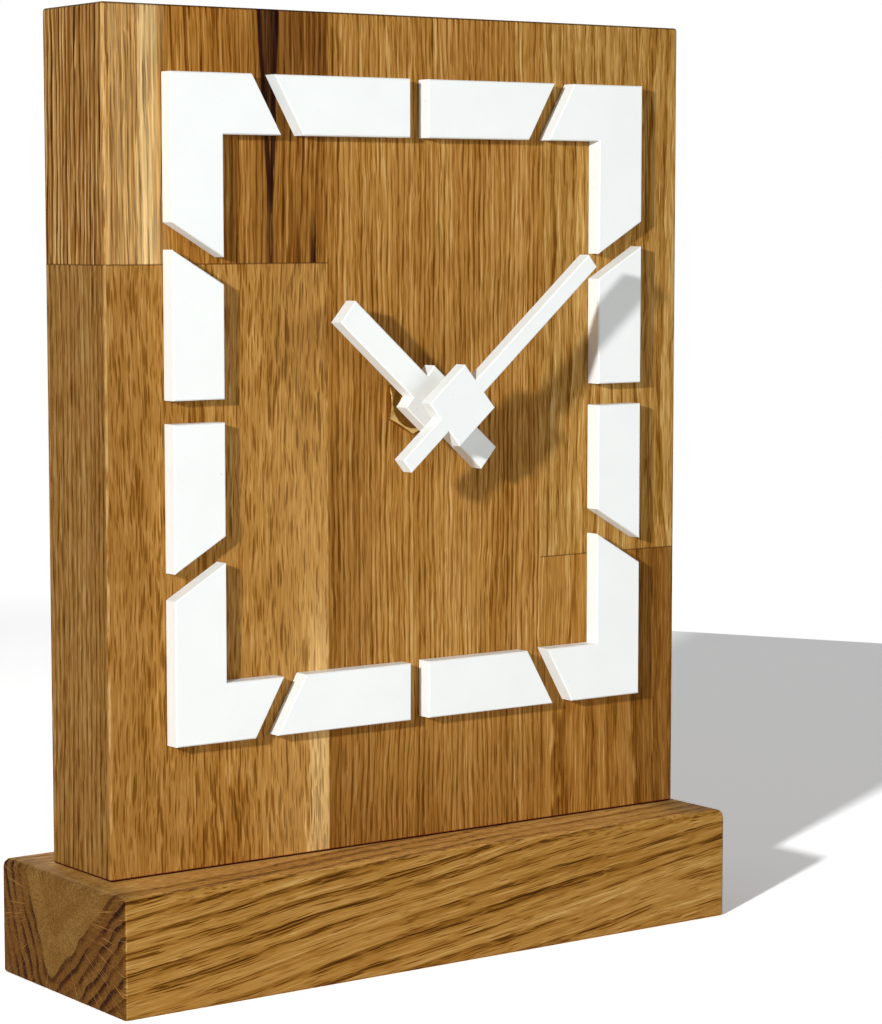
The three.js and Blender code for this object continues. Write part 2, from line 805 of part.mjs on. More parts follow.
// Bridge: a plate drawn tight round its posts and bearings, as a string round pegs.
function hullOutline(circles) {
  const points = circles
    .flatMap(([centre, radius]) =>
      Array.from({ length: shaftFacets }, (_, i) => polar(centre, radius, (360 * i) / shaftFacets)),
    )
    .sort((a, b) => a.x - b.x || a.y - b.y);
  const halfHull = (ordered) => {
    const chain = [];
    for (const point of ordered) {
      while (chain.length > 1) {
        const [before, last] = chain.slice(-2);
        const side = last.clone().sub(before).cross(point.clone().sub(before));
        if (side > 0) break;
        chain.pop();
      }
      chain.push(point);
    }
    return chain.slice(0, -1);
  };
  return [...halfHull(points), ...halfHull([...points].reverse())];
}

const bearings = [shaft, thirdAxis, stepAxis, rotorAxis];
const bridgeOutline = hullOutline([
  ...[...bearings, ...bridgePosts].map((centre) => [centre, postRadius + bridgeMargin]),
  [knobAxis, knobArborRadius + bridgeMargin],
]);
const bridge = cut(
  toSolid(plateGeometry(bridgeOutline, bridgeBack, bridgeFront - bridgeBack)),
  ...bearings.map((axis) =>
    boreSolid(axis, arborRadius + runningClearance, bridgeBack - overrun, bridgeFront + overrun),
  ),
  boreSolid(
    knobAxis,
    knobArborRadius + runningClearance,
    bridgeBack - overrun,
    bridgeFront + overrun,
  ),
);
addPiece(dial, "gear_bridge", toGeometry(bridge), gearPlastic);

// A wheel on its arbor, with its pinion in front of it, about its own axis.
function wheelSolid({ wheel, pinion, layer, arborFront, arborBack }) {
  const wheelFront = layerFront(layer);
  const wheelBack = wheelFront - gearThickness;
  return join(
    gearSolid(wheel.count, wheel.module, wheel.phase, wheelFront, wheelBack),
    gearSolid(pinion.count, pinion.module, pinion.phase, layerFront(layer - 1), wheelFront, true),
    barSolid(shaft, arborRadius, arborBack, arborFront),
  );
}

const pivotFront = caseFloor - flangeThickness + pivotDepth - runningClearance;

// Hand-setting work: hour wheel and tube, minute arbor, transfer wheel and setting knob.
const hourWheel = cut(
  join(
    gearSolid(
      teeth.hourWheel,
      setModule,
      hourPhase,
      layerFront(0),
      layerFront(0) - gearThickness,
    ),
    barSolid(shaft, hourTubeRadius, layerFront(0) - gearThickness, hourHandFront - tubeRecess),
  ),
  boreSolid(shaft, hourTubeBore, layerFront(1), hourHandFront + overrun),
);
addPiece(dial, "hour_wheel", toGeometry(hourWheel), gearPlastic);

const cannonBack = layerFront(1) - gearThickness;
const driveBack = layerFront(2) - gearThickness;
const minuteArbor = cut(
  join(
    barSolid(shaft, minuteArborRadius, cannonBack, minuteArborFront),
    gearSolid(teeth.cannon, setModule, cannonPhase, layerFront(1), cannonBack, true),
    barSolid(shaft, driveSeatRadius, driveBack, layerFront(1)),
  ),
  boreSolid(shaft, minuteBoreRadius, driveBack - overrun, minuteArborFront + overrun),
);
addPiece(dial, "minute_arbor", toGeometry(minuteArbor), brass);

const transferWheel = cut(
  join(
    gearSolid(teeth.transferWheel, setModule, transferPhase, layerFront(1), cannonBack),
    gearSolid(teeth.transferPinion, setModule, 0, layerFront(0), cannonBack, true),
  ),
  boreSolid(shaft, studRadius + runningClearance, cannonBack - overrun, layerFront(0) + overrun),
);
addPiece(dial, "transfer_wheel", toGeometry(transferWheel), gearPlastic, transferAxis);

const knobFront = caseBack - knobGap;
const knobBack = knobFront - knobThickness;
const knobTeeth = 2 * turnFacets;
const knob = join(
  gearSolid(teeth.knob, setModule, knobPhase, layerFront(1), cannonBack, true),
  barSolid(shaft, knobArborRadius, knobBack, cannonBack),
  barSolid(shaft, arborRadius, knobBack, pivotFront),
  gearSolid(knobTeeth, (2 * knobRadius) / knobTeeth, 0, knobFront, knobBack),
);
addPiece(dial, "setting_knob", toGeometry(knob), gearPlastic, knobAxis);

// Going train: drive wheel, third wheel, seconds wheel, step wheel and rotor.
const driveWheel = cut(
  gearSolid(teeth.driveWheel, driveModule, drivePhase, layerFront(2), driveBack),
  boreSolid(shaft, driveSeatRadius + runningClearance, driveBack - overrun, layerFront(2) + overrun),
);
addPiece(dial, "drive_wheel", toGeometry(driveWheel), gearPlastic);

const thirdWheel = wheelSolid({
  wheel: { count: teeth.thirdWheel, module: trainModule, phase: thirdPhase },
  pinion: { count: teeth.thirdPinion, module: driveModule, phase: 0 },
  layer: 3,
  arborFront: pivotFront,
  arborBack: bridgeBack,
});
addPiece(dial, "third_wheel", toGeometry(thirdWheel), gearPlastic, thirdAxis);

const secondsWheel = wheelSolid({
  wheel: { count: teeth.secondsWheel, module: stepModule, phase: secondsPhase },
  pinion: { count: teeth.secondsPinion, module: trainModule, phase: 0 },
  layer: 4,
  arborFront: minuteArborFront - runningClearance,
  arborBack: bridgeBack,
});
addPiece(dial, "seconds_wheel", toGeometry(secondsWheel), gearPlastic);

const stepWheel = wheelSolid({
  wheel: { count: teeth.stepWheel, module: trainModule, phase: stepPhase },
  pinion: { count: teeth.stepPinion, module: stepModule, phase: 0 },
  layer: 5,
  arborFront: pivotFront,
  arborBack: bridgeBack,
});
addPiece(dial, "step_wheel", toGeometry(stepWheel), gearPlastic, stepAxis);

const magnetFront = (layerFront(3) + layerFront(4)) / 2;
const magnetBack = layerFront(4) - gearThickness;
const rotor = join(
  barSolid(shaft, magnetRadius, magnetBack, magnetFront, turnFacets),
  gearSolid(teeth.rotorPinion, trainModule, rotorPhase, magnetBack, layerFront(5) - gearThickness, true),
  barSolid(shaft, arborRadius, bridgeBack, pivotFront),
);
addPiece(dial, "rotor", toGeometry(rotor), magnetGrey, rotorAxis);

// Motor: a stator plate with the rotor's hole, and a core bar through the coil across its two arms.
function makeStator() {
  const plate = boxSolid(
    [statorLeft, statorLow, statorBack],
    [statorRight, statorHigh, statorFront],
  );
  const window = boxSolid(
    [windowLeft, statorLow + statorLimb, statorBack - overrun],
    [windowRight, statorHigh + overrun, statorFront + overrun],
  );
  const hole = boreSolid(
    rotorAxis,
    rotorHoleRadius,
    statorBack - overrun,
    statorFront + overrun,
    turnFacets,
  );
  return cut(plate, window, hole);
}

addPiece(dial, "stator", toGeometry(makeStator()), steel);

const coreLow = [statorLeft, coreY - statorLimb / 2, statorBack - statorThickness];
const coreHigh = [statorRight, coreY + statorLimb / 2, statorBack];
addPiece(dial, "coil_core", toGeometry(boxSolid(coreLow, coreHigh)), steel);

// A ring about the coil's axis, which runs along x.
function coilRing(radius, length) {
  const ring = new THREE.CylinderGeometry(radius, radius, length, turnFacets);
  return toSolid(ring.rotateZ(Math.PI / 2).translate(coilX, coreY, coreZ));
}

const barrelRadius = Math.hypot(statorLimb / 2, statorThickness / 2) + bobbinWall;
const flangeAt = (coilLength - bobbinFlange) / 2;
const coreSlot = boxSolid(
  [coilX - coilLength, coreLow[1] - runningClearance, coreLow[2] - runningClearance],
  [coilX + coilLength, coreHigh[1] + runningClearance, coreHigh[2] + runningClearance],
);
const bobbin = cut(
  join(
    coilRing(barrelRadius, coilLength),
    ...[-flangeAt, flangeAt].map((shift) => coilRing(coilRadius, bobbinFlange).translate([shift, 0, 0])),
  ),
  coreSlot,
);
addPiece(dial, "coil_bobbin", toGeometry(bobbin), whitePlastic);

const windingLength = coilLength - 2 * (bobbinFlange + runningClearance);
const windingBore = (barrelRadius + runningClearance) / Math.cos(Math.PI / turnFacets);
const winding = cut(
  coilRing(coilRadius - bobbinWall / 2, windingLength),
  coilRing(windingBore, coilLength),
);
addPiece(dial, "coil_winding", toGeometry(winding), copper);

// Circuit board with its sealed chip, and the crystal can lying on it.
const boardHalf = roomHalf - contactGap - contactThickness - boardGap;
const boardBack = bridgeFront - boardThickness;
const board = join(
  boxSolid([-boardHalf, boardLow, boardBack], [boardHalf, boardLow + boardHeight, bridgeFront]),
  turnedSolid([
    [0, boardBack - chipHeight],
    [chipWidth / 2 - chipHeight, boardBack - chipHeight],
    [chipWidth / 2, boardBack],
    [chipWidth / 2, boardBack + boardThickness / 2],
    [0, boardBack + boardThickness / 2],
  ]).translate([0, boardPostY, 0]),
);
addPiece(dial, "circuit_board", toGeometry(board), boardGreen);

const crystal = new THREE.CylinderGeometry(crystalRadius, crystalRadius, crystalLength, shaftFacets);
crystal.rotateZ(Math.PI / 2);
crystal.translate(chipWidth + crystalLength / 2, boardPostY, boardBack - crystalRadius - boardGap / 2);
addPiece(dial, "quartz_crystal", toGeometry(toSolid(crystal)), nickel);

// Battery and its two contact strips, each a leaf along the bay's end wall with a bow in it.
const batteryZ = caseFloor - batteryPlay - batteryDiameter / 2;
const batteryOutline = [
  [0, 0],
  [batteryDiameter / 2 - batteryRimRadius, 0],
  [batteryDiameter / 2, batteryRimRadius],
  [batteryDiameter / 2, batteryLength - batteryNubLength - batteryRimRadius],
  [batteryDiameter / 2 - batteryRimRadius, batteryLength - batteryNubLength],
  [batteryNubRadius, batteryLength - batteryNubLength],
  [batteryNubRadius, batteryLength],
  [0, batteryLength],
];
const battery = toGeometry(turnedSolid(batteryOutline)).rotateY(Math.PI / 2);
battery.translate(-batteryLength / 2, batteryHeight, batteryZ);
addPiece(dial, "battery", battery, sleeve);

function contactGeometry(side) {
  const wall = roomHalf - contactGap;
  const face = wall - contactThickness;
  const bow = roomHalf - contactRoom + contactGap;
  const low = batteryHeight - batteryDiameter / 2;
  const bend = contactBumpLength / 2;
  const inner = [
    [face, low],
    [face, batteryHeight - bend],
    [bow, batteryHeight],
    [face, batteryHeight + bend],
    [face, boardLow + boardHeight],
  ];
  const outer = [
    [wall, boardLow + boardHeight],
    [wall, batteryHeight + bend],
    [bow + contactThickness, batteryHeight],
    [wall, batteryHeight - bend],
    [wall, low],
  ];
  const outline = [...inner, ...outer].map(([x, y]) => onePoint(side * x, y));
  if (side > 0) outline.reverse();
  return plateGeometry(outline, batteryZ - contactWidth / 2, contactWidth);
}

addPiece(dial, "contact_negative", contactGeometry(-1), nickel);
addPiece(dial, "contact_positive", contactGeometry(1), nickel);

export default clock;
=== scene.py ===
"""Looks of the oak mantel clock: oiled oak, white markers and hands, brass and the movement.

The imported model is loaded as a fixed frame. Each sub-assembly is a class that dresses its own
nodes, or builds a finer piece that stands for a node, and reports what it made. Sizes are in
millimetres unless a line says otherwise.
"""

import json
import logging
import math
from dataclasses import dataclass, field
from enum import Enum
from typing import Protocol

import bmesh
import bpy
from mathutils import Matrix, Vector

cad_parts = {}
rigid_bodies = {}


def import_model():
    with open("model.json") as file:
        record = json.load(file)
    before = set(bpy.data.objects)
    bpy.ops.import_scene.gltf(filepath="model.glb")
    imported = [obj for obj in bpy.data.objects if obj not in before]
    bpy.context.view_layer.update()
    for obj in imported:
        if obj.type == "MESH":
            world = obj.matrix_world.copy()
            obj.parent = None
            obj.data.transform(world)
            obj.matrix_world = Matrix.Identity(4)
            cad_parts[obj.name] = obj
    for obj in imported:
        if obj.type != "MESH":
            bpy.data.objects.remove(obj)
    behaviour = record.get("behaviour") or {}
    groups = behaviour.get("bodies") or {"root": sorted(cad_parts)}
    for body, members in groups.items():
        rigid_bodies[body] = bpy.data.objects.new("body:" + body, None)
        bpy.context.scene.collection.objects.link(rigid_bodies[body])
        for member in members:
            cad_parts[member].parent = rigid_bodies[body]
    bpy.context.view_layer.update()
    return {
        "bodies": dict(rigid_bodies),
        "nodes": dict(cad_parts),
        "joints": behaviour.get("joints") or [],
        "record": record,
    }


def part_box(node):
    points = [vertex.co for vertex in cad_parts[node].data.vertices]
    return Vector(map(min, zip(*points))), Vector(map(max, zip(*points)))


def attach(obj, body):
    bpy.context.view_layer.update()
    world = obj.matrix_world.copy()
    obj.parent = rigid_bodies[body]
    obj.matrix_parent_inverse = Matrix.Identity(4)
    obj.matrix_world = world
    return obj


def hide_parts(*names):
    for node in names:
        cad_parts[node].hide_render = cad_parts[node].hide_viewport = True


logging.basicConfig(level=logging.INFO, format="%(message)s")
LOG = logging.getLogger("clock")

Pair = tuple[float, float]
Triple = tuple[float, float, float]
Four = tuple[float, float, float, float]
Colour = Triple
Edge = bmesh.types.BMEdge
Mesh = bmesh.types.BMesh
Socket = bpy.types.NodeSocket

MM = 0.001
NOWHERE = -1000.0
FULL_TURN = 360.0


def linear(red: int, green: int, blue: int) -> Colour:
    """Turn an 8-bit display colour into linear light.

    Args:
        red: Red from 0 to 255.
        green: Green from 0 to 255.
        blue: Blue from 0 to 255.

    Returns:
        The three channels in linear light.
    """

    def channel(value: int) -> float:
        """Return one channel in linear light."""
        share = value / 255
        return share / 12.92 if share <= 0.04045 else ((share + 0.055) / 1.055) ** 2.4

    return channel(red), channel(green), channel(blue)


def grey(level: float) -> Colour:
    """Return a grey, or the same factor for all three channels."""
    return level, level, level


def scaled(values: Triple, share: float) -> Triple:
    """Multiply a colour's channels, or any three numbers, by a share."""
    return tuple(value * share for value in values)


@dataclass(frozen=True)
class Pattern:
    """A noise.

    Attributes:
        size: Its grains' size along each axis.
        detail: How many finer layers are added.
        roughness: How strong the finer layers are.
        seed: What sets it apart from the other patterns of a piece.
    """

    size: Triple
    detail: float = 2.0
    roughness: float = 0.5
    seed: float = 0.0


class Graph:
    """A node tree, built with short calls."""

    def __init__(self, tree: bpy.types.NodeTree) -> None:
        """Take over the tree of a material, a world or a lamp, and empty it."""
        self.tree = tree
        tree.nodes.clear()

    def feed(self, target: Socket, value: object) -> None:
        """Link a socket to an input, or set the input's own value.

        Args:
            target: The input.
            value: A socket, number, vector or colour.
        """
        if isinstance(value, bpy.types.NodeSocket):
            self.tree.links.new(value, target)
        elif target.type == "RGBA":
            target.default_value = (*value, 1.0)
        else:
            target.default_value = value

    def add(
        self, kind: str, *values: object, named: dict[str, object] | None = None, **settings: object
    ) -> bpy.types.Node:
        """Add a node, set its properties and feed its inputs.

        Args:
            kind: The node's type name without "ShaderNode" before it.
            values: What its first inputs are fed with, in order.
            named: What other inputs are fed with, by their names.
            settings: Properties to set on the node.

        Returns:
            The new node.
        """
        node = self.tree.nodes.new(f"ShaderNode{kind}")
        for key, value in settings.items():
            setattr(node, key, value)
        for target, value in zip(node.inputs, values):
            self.feed(target, value)
        for key, value in (named or {}).items():
            self.feed(node.inputs[key], value)
        return node

    def math(self, operation: str, *values: object, clamp: bool = False) -> Socket:
        """Add a Math node, whose result may be kept from 0 to 1."""
        return self.add("Math", *values, operation=operation, use_clamp=clamp).outputs[0]

    def swing(self, value: Socket, middle: float, share: object, base: object) -> Socket:
        """Add a value's distance from its middle, times a share, to a base."""
        return self.math("MULTIPLY_ADD", self.math("SUBTRACT", value, middle), share, base)

    def vector(self, operation: str, *values: object) -> Socket:
        """Add a Vector Math node and return its vector, or its number where it gives one."""
        node = self.add("VectorMath", *values, operation=operation)
        return node.outputs["Value" if operation in ("LENGTH", "DOT_PRODUCT") else "Vector"]

    def combine(self, *values: object) -> Socket:
        """Make a vector of three parts."""
        return self.add("CombineXYZ", *values).outputs[0]

    def separate(self, vector: Socket) -> tuple[Socket, ...]:
        """Split a vector into its three parts."""
        return tuple(self.add("SeparateXYZ", vector).outputs)

    def noise(
        self, place: Socket, pattern: Pattern, seed: float = 0.0, colour: bool = False
    ) -> Socket:
        """Add a noise texture.

        Args:
            place: Where it is read, in millimetres.
            pattern: Its grains and layers.
            seed: The piece's own seed.
            colour: Whether the coloured output is returned.

        Returns:
            The noise's socket.
        """
        node = self.add(
            "TexNoise",
            noise_dimensions="4D",
            named={
                "Vector": self.vector("MULTIPLY", place, Vector([1 / s for s in pattern.size])),
                "W": seed + pattern.seed,
                "Scale": 1.0,
                "Detail": pattern.detail,
                "Roughness": pattern.roughness,
            },
        )
        return node.outputs["Color" if colour else "Fac"]

    def band(self, value: Socket, low: float, high: float) -> Socket:
        """Map a value smoothly to 0 at low and 1 at high, clamped at both ends."""
        limits = {"Value": value, "From Min": low, "From Max": high}
        return self.add("MapRange", interpolation_type="SMOOTHSTEP", named=limits).outputs[0]

    def ramp(self, value: Socket, *stops: tuple[float, Colour]) -> Socket:
        """Add a colour ramp.

        Args:
            value: What picks the place on the ramp.
            stops: Pairs of a place from 0 to 1 and a colour.

        Returns:
            The colour's socket.
        """
        node = self.add("ValToRGB", value)
        elements = node.color_ramp.elements
        while len(elements) < len(stops):
            elements.new(0.5)
        for element, (place, colour) in zip(elements, stops):
            element.position = place
            element.color = (*colour, 1.0)
        return node.outputs["Color"]

    def mix(self, share: object, first: object, second: object, blend: str = "MIX") -> Socket:
        """Mix two colours.

        Args:
            share: The second colour's share, from 0 to 1.
            first: The first colour.
            second: The second colour.
            blend: How they are blended.

        Returns:
            The mixed colour's socket.
        """
        node = self.add("Mix", share, data_type="RGBA", blend_type=blend, clamp_factor=True)
        self.feed(node.inputs[6], first)
        self.feed(node.inputs[7], second)
        return node.outputs[2]

    def multiply(self, first: object, second: object) -> Socket:
        """Multiply two colours."""
        return self.mix(1.0, first, second, "MULTIPLY")


class Surface(Graph):
    """One material's node tree, with its Principled shader."""

    def __init__(self, name: str) -> None:
        """Make a material.

        Args:
            name: The material's name.
        """
        self.material = bpy.data.materials.new(name)
        self.material.use_nodes = True
        super().__init__(self.material.node_tree)
        self.shader = self.add("BsdfPrincipled")
        self.add("OutputMaterial", self.shader.outputs["BSDF"])
        self.coordinates = self.add("TexCoord").outputs

    def millimetres(self, turn: float = 0.0) -> Socket:
        """Return Object coordinates in millimetres.

        Args:
            turn: How far they are turned about the Y axis, in radians.

        Returns:
            The vector's socket.
        """
        scale = Vector((1 / MM, 1 / MM, 1 / MM))
        named = {"Rotation": Vector((0.0, turn, 0.0)), "Scale": scale}
        return self.add("Mapping", self.coordinates["Object"], named=named).outputs[0]

    def bump(self, height: Socket, depth: float, strength: float) -> None:
        """Give the shader a bump from a relief, of a depth in millimetres."""
        named = {"Height": height, "Distance": depth * MM, "Strength": strength}
        self.feed(self.shader.inputs["Normal"], self.add("Bump", named=named).outputs[0])

    def finish(
        self, colour: object, roughness: object, metallic: object = 0.0, specular: float = 0.5
    ) -> None:
        """Set the shader's main inputs.

        Args:
            colour: The base colour.
            roughness: The roughness.
            metallic: How metallic it is.
            specular: The specular level.
        """
        inputs = self.shader.inputs
        self.feed(inputs["Base Color"], colour)
        self.feed(inputs["Roughness"], roughness)
        self.feed(inputs["Metallic"], metallic)
        self.feed(inputs["Specular IOR Level"], specular)


class Finish(Protocol):
    """Anything that can be turned into a material."""

    name: str

    def material(self) -> bpy.types.Material:
        """Build the material."""


class Grain(Enum):
    """Which way a board's grain runs."""

    UPRIGHT = "upright"
    LENGTHWISE = "lengthwise"


@dataclass(frozen=True)
class Streak:
    """A band of another tone along the grain of an upright stave.

    Attributes:
        left: Its left edge's x.
        right: Its right edge's x.
        colour: Its colour.
        low: The height where it starts to show.
        high: The height where it shows in full.
        soft: How far each edge fades.
        amount: How much of the wood under it the band covers.
        fibrous: How much the band is broken up into fibres.
        stray: How far its edges wander to and fro.
        lean: How far it leans to the right for each millimetre above LEAN_FROM.
    """

    left: float
    right: float
    colour: Colour
    low: float = 2 * NOWHERE
    high: float = NOWHERE
    soft: float = 1.0
    amount: float = 0.8
    fibrous: float = 0.5
    stray: float = 0.8
    lean: float = 0.0


OAK_TONES: tuple[tuple[float, Colour], ...] = (
    (0.0, linear(64, 33, 6)),
    (0.25, linear(112, 67, 13)),
    (0.5, linear(157, 107, 41)),
    (0.72, linear(186, 139, 73)),
    (1.0, linear(224, 188, 126)),
)
# The palest tone is also the painted highlight on the eased edges.
RAY_TONE, EDGE_HIGHLIGHT_TONE = OAK_TONES[3][1], OAK_TONES[4][1]
# The pale grey-white of a painted sheen on the sides.
PAINTED_SHEEN_TONE = linear(200, 170, 130)
HEART_TINT: Colour = (0.82, 0.7, 0.5)
RIM_TINT: Colour = (1.02, 0.73, 0.4)
STREAK_SHADE = ((0.1, grey(0.28)), (0.5, grey(0.8)), (0.75, grey(1.15)))
BUTT_LINE = (linear(70, 38, 10), 0.6)
FOOT_LINE = (linear(96, 20, 13), 1.0)

DRIFT = Pattern((28.0, 28.0, 90.0), 1.5, 0.5, 3.0)
CURL = Pattern((3.5, 3.5, 13.0), 1.5, 0.5, 4.0)
RING_SHIFT = Pattern((6.0, 6.0, 70.0), 1.0, 0.5, 5.0)
CLOUDS = Pattern((15.0, 15.0, 110.0), 2.0, 0.5, 11.0)
BROKEN_RINGS = Pattern((1.2, 1.2, 16.0), 2.0, 0.6, 13.0)
FADED_RINGS = Pattern((11.0, 11.0, 90.0), 1.0, 0.5, 15.0)
RAY_FLECKS = Pattern((0.5, 14.0, 5.0), 1.0, 0.5, 17.0)
MOTTLE = Pattern((0.7, 0.7, 3.0), 3.0, 0.6, 19.0)
STREAK_EDGES = Pattern((2.5, 2.5, 24.0), 3.0, 0.65, 23.0)
STRANDS = Pattern((0.7, 0.7, 55.0), 2.0, 0.6, 27.0)
WEAR_AND_HIGHLIGHT_PATCHES = Pattern((1.5, 1.5, 9.0), 3.0, 0.6, 29.0)

SIDE_FACING, END_FACING = (0.75, 0.95), (0.25, 0.65)
FIBRE_LAYERS = (4.0, 0.62, 7.0)
DRIFT_REACH, CURL_REACH = 5.0, 4.0
WEDGE_BLUNTNESS = 7.0
RING_WANDER = 2.5
EARLY_FADE, EARLY_START, EARLY_MIDDLE = (0.62, 0.18), (0.0, 0.08), 0.4
RINGS_CLEAR, FAINTEST_RING = (0.35, 0.6), 0.2
RINGS_BROKEN = (0.3, 0.6)
CORE_EDGE, HEART_EDGE = (0.8, 1.3), (0.85, 1.5)
STROKE_SPREAD, STROKE_LEAST = 0.6, 0.55
PORE_SPACING, PORE_FADE = (1.9, 1.9, 1.7), 0.12
FINE_SPACING, FINE_RADIUS, FINE_FADE, FINE_DEPTH = 0.6, 0.8, 0.16, 0.7
FLECK_SPACING, FLECK_RADIUS, FLECK_FADE = (2.2, 2.2, 2.0), 0.42, 0.2
EDGE_WOBBLE, TONE_WOBBLE, MOST_STRAY = 6.0, 4.0, 1.2
STRANDS_SHOWN = (0.38, 0.58)
LINE_WIDTH, LINE_HEART = 0.45, 0.1
# Where and how strongly the painted highlight and wear show on the eased corners.
WEAR_AND_HIGHLIGHT_WHERE, WEAR_AND_HIGHLIGHT_SHARE, CORNER_FACING = (0.42, 0.66), 0.42, (0.08, 0.3)
END_MOTTLE, MOTTLE_STOPS, FLAT_END = (0.72, 1.28), (0.3, 0.7), (0.9, 0.99)
RAYS_SHOWN = (0.62, 0.7)
RAYS_ROUND = 40.0
SEED_STEP: Triple = (11.3, 17.9, 41.7)
FINE_PORES_SEED, FLECKS_SEED = 3.0, 9.0
NEAR_ENDS = (76.0, 87.0)
LEAN_FROM = 190.0
PORE_ROUGHNESS, OILED_GLOSS = 0.25, 0.06
FIBRE_RELIEF, RELIEF_DEPTH, RELIEF_STRENGTH = 0.6, 0.09, 0.6


@dataclass(frozen=True)
class OakFinish:
    """Oiled oak, cut from a log whose pith lies in or beside the board.

    Attributes:
        name: The material's name.
        pith: Where the pith lies across the grain.
        seed: What gives each board its own pattern.
        level: The usual place on the row of tones, from 0 to 1.
        tint: What the oak's tones are multiplied by.
        ring: The width of one year's ring.
        ring_share: How strongly the rings show.
        year_share: How much the tone changes from one year to the next.
        fibre_share: How strongly the long fibres show.
        fibre_size: A fibre bundle's width and its length along the grain.
        pore_share: How strongly the pores show.
        pore_size: A pore's width and its length along the grain.
        late_pores: The pores' size in the latewood, as a share of their distance.
        early_pores: How much that grows in the earlywood.
        fleck_share: How strongly the pale flecks between the pores show.
        cloud_share: How strongly the broad changes of tone show.
        curl: How far the fibres wander across the grain.
        grain: Which way the grain runs.
        slope: How far the grain turns off its axis, in radians.
        streaks: Bands of another tone.
        butt: The height of a glued butt joint, which shows as a thin dark line.
        foot: The height of the joint with the base, which shows as a dark red line.
        end_share: The end grain's brightness beside the face grain's.
        end_rings: How much more strongly the rings show on the end grain.
        edge_painted_shade: The painted shade on the eased edge: its brightness beside the end
            grain's.
        side_tone_and_light: The brightness of the sides next to the front face beside the front's:
            on the staves their own darker tone, on the base's top painted light that brightens it.
        side_sheen: How much pale painted sheen lies on those sides.
        side_rings: How much more strongly the rings show on those sides.
        side_end_share: Those sides' brightness beside the ends, next to that in the middle.
        ray_share: How strongly the rays show on the end grain.
        core: The radius round the pith in which no rings can be told apart.
        wedge: The two directions that the rings face where they run in a blunt wedge, not round.
        rim_share: The end grain's brightness far from the pith beside that near it.
        roughness: The oiled surface's roughness.
    """

    name: str
    pith: Pair
    seed: float
    level: float
    tint: Colour = (1.0, 1.0, 1.0)
    ring: float = 1.8
    ring_share: float = 0.14
    year_share: float = 0.12
    fibre_share: float = 0.75
    fibre_size: Pair = (0.42, 30.0)
    pore_share: float = 0.2
    pore_size: Pair = (0.34, 7.0)
    late_pores: float = 0.3
    early_pores: float = 0.2
    fleck_share: float = 0.12
    cloud_share: float = 0.35
    curl: float = 0.35
    grain: Grain = Grain.UPRIGHT
    slope: float = 0.0
    streaks: tuple[Streak, ...] = ()
    butt: float = NOWHERE
    foot: float = 28.3
    end_share: float = 0.6
    end_rings: float = 0.0
    edge_painted_shade: float = 0.45
    side_tone_and_light: float = 1.0
    side_sheen: float = 0.0
    side_rings: float = 0.0
    side_end_share: float = 1.0
    ray_share: float = 0.12
    core: float = 0.0
    wedge: tuple[Pair, ...] = ()
    rim_share: float = 1.0
    roughness: float = 0.68

    def material(self) -> bpy.types.Material:
        """Build the oak."""
        return OakSurface(self).build()


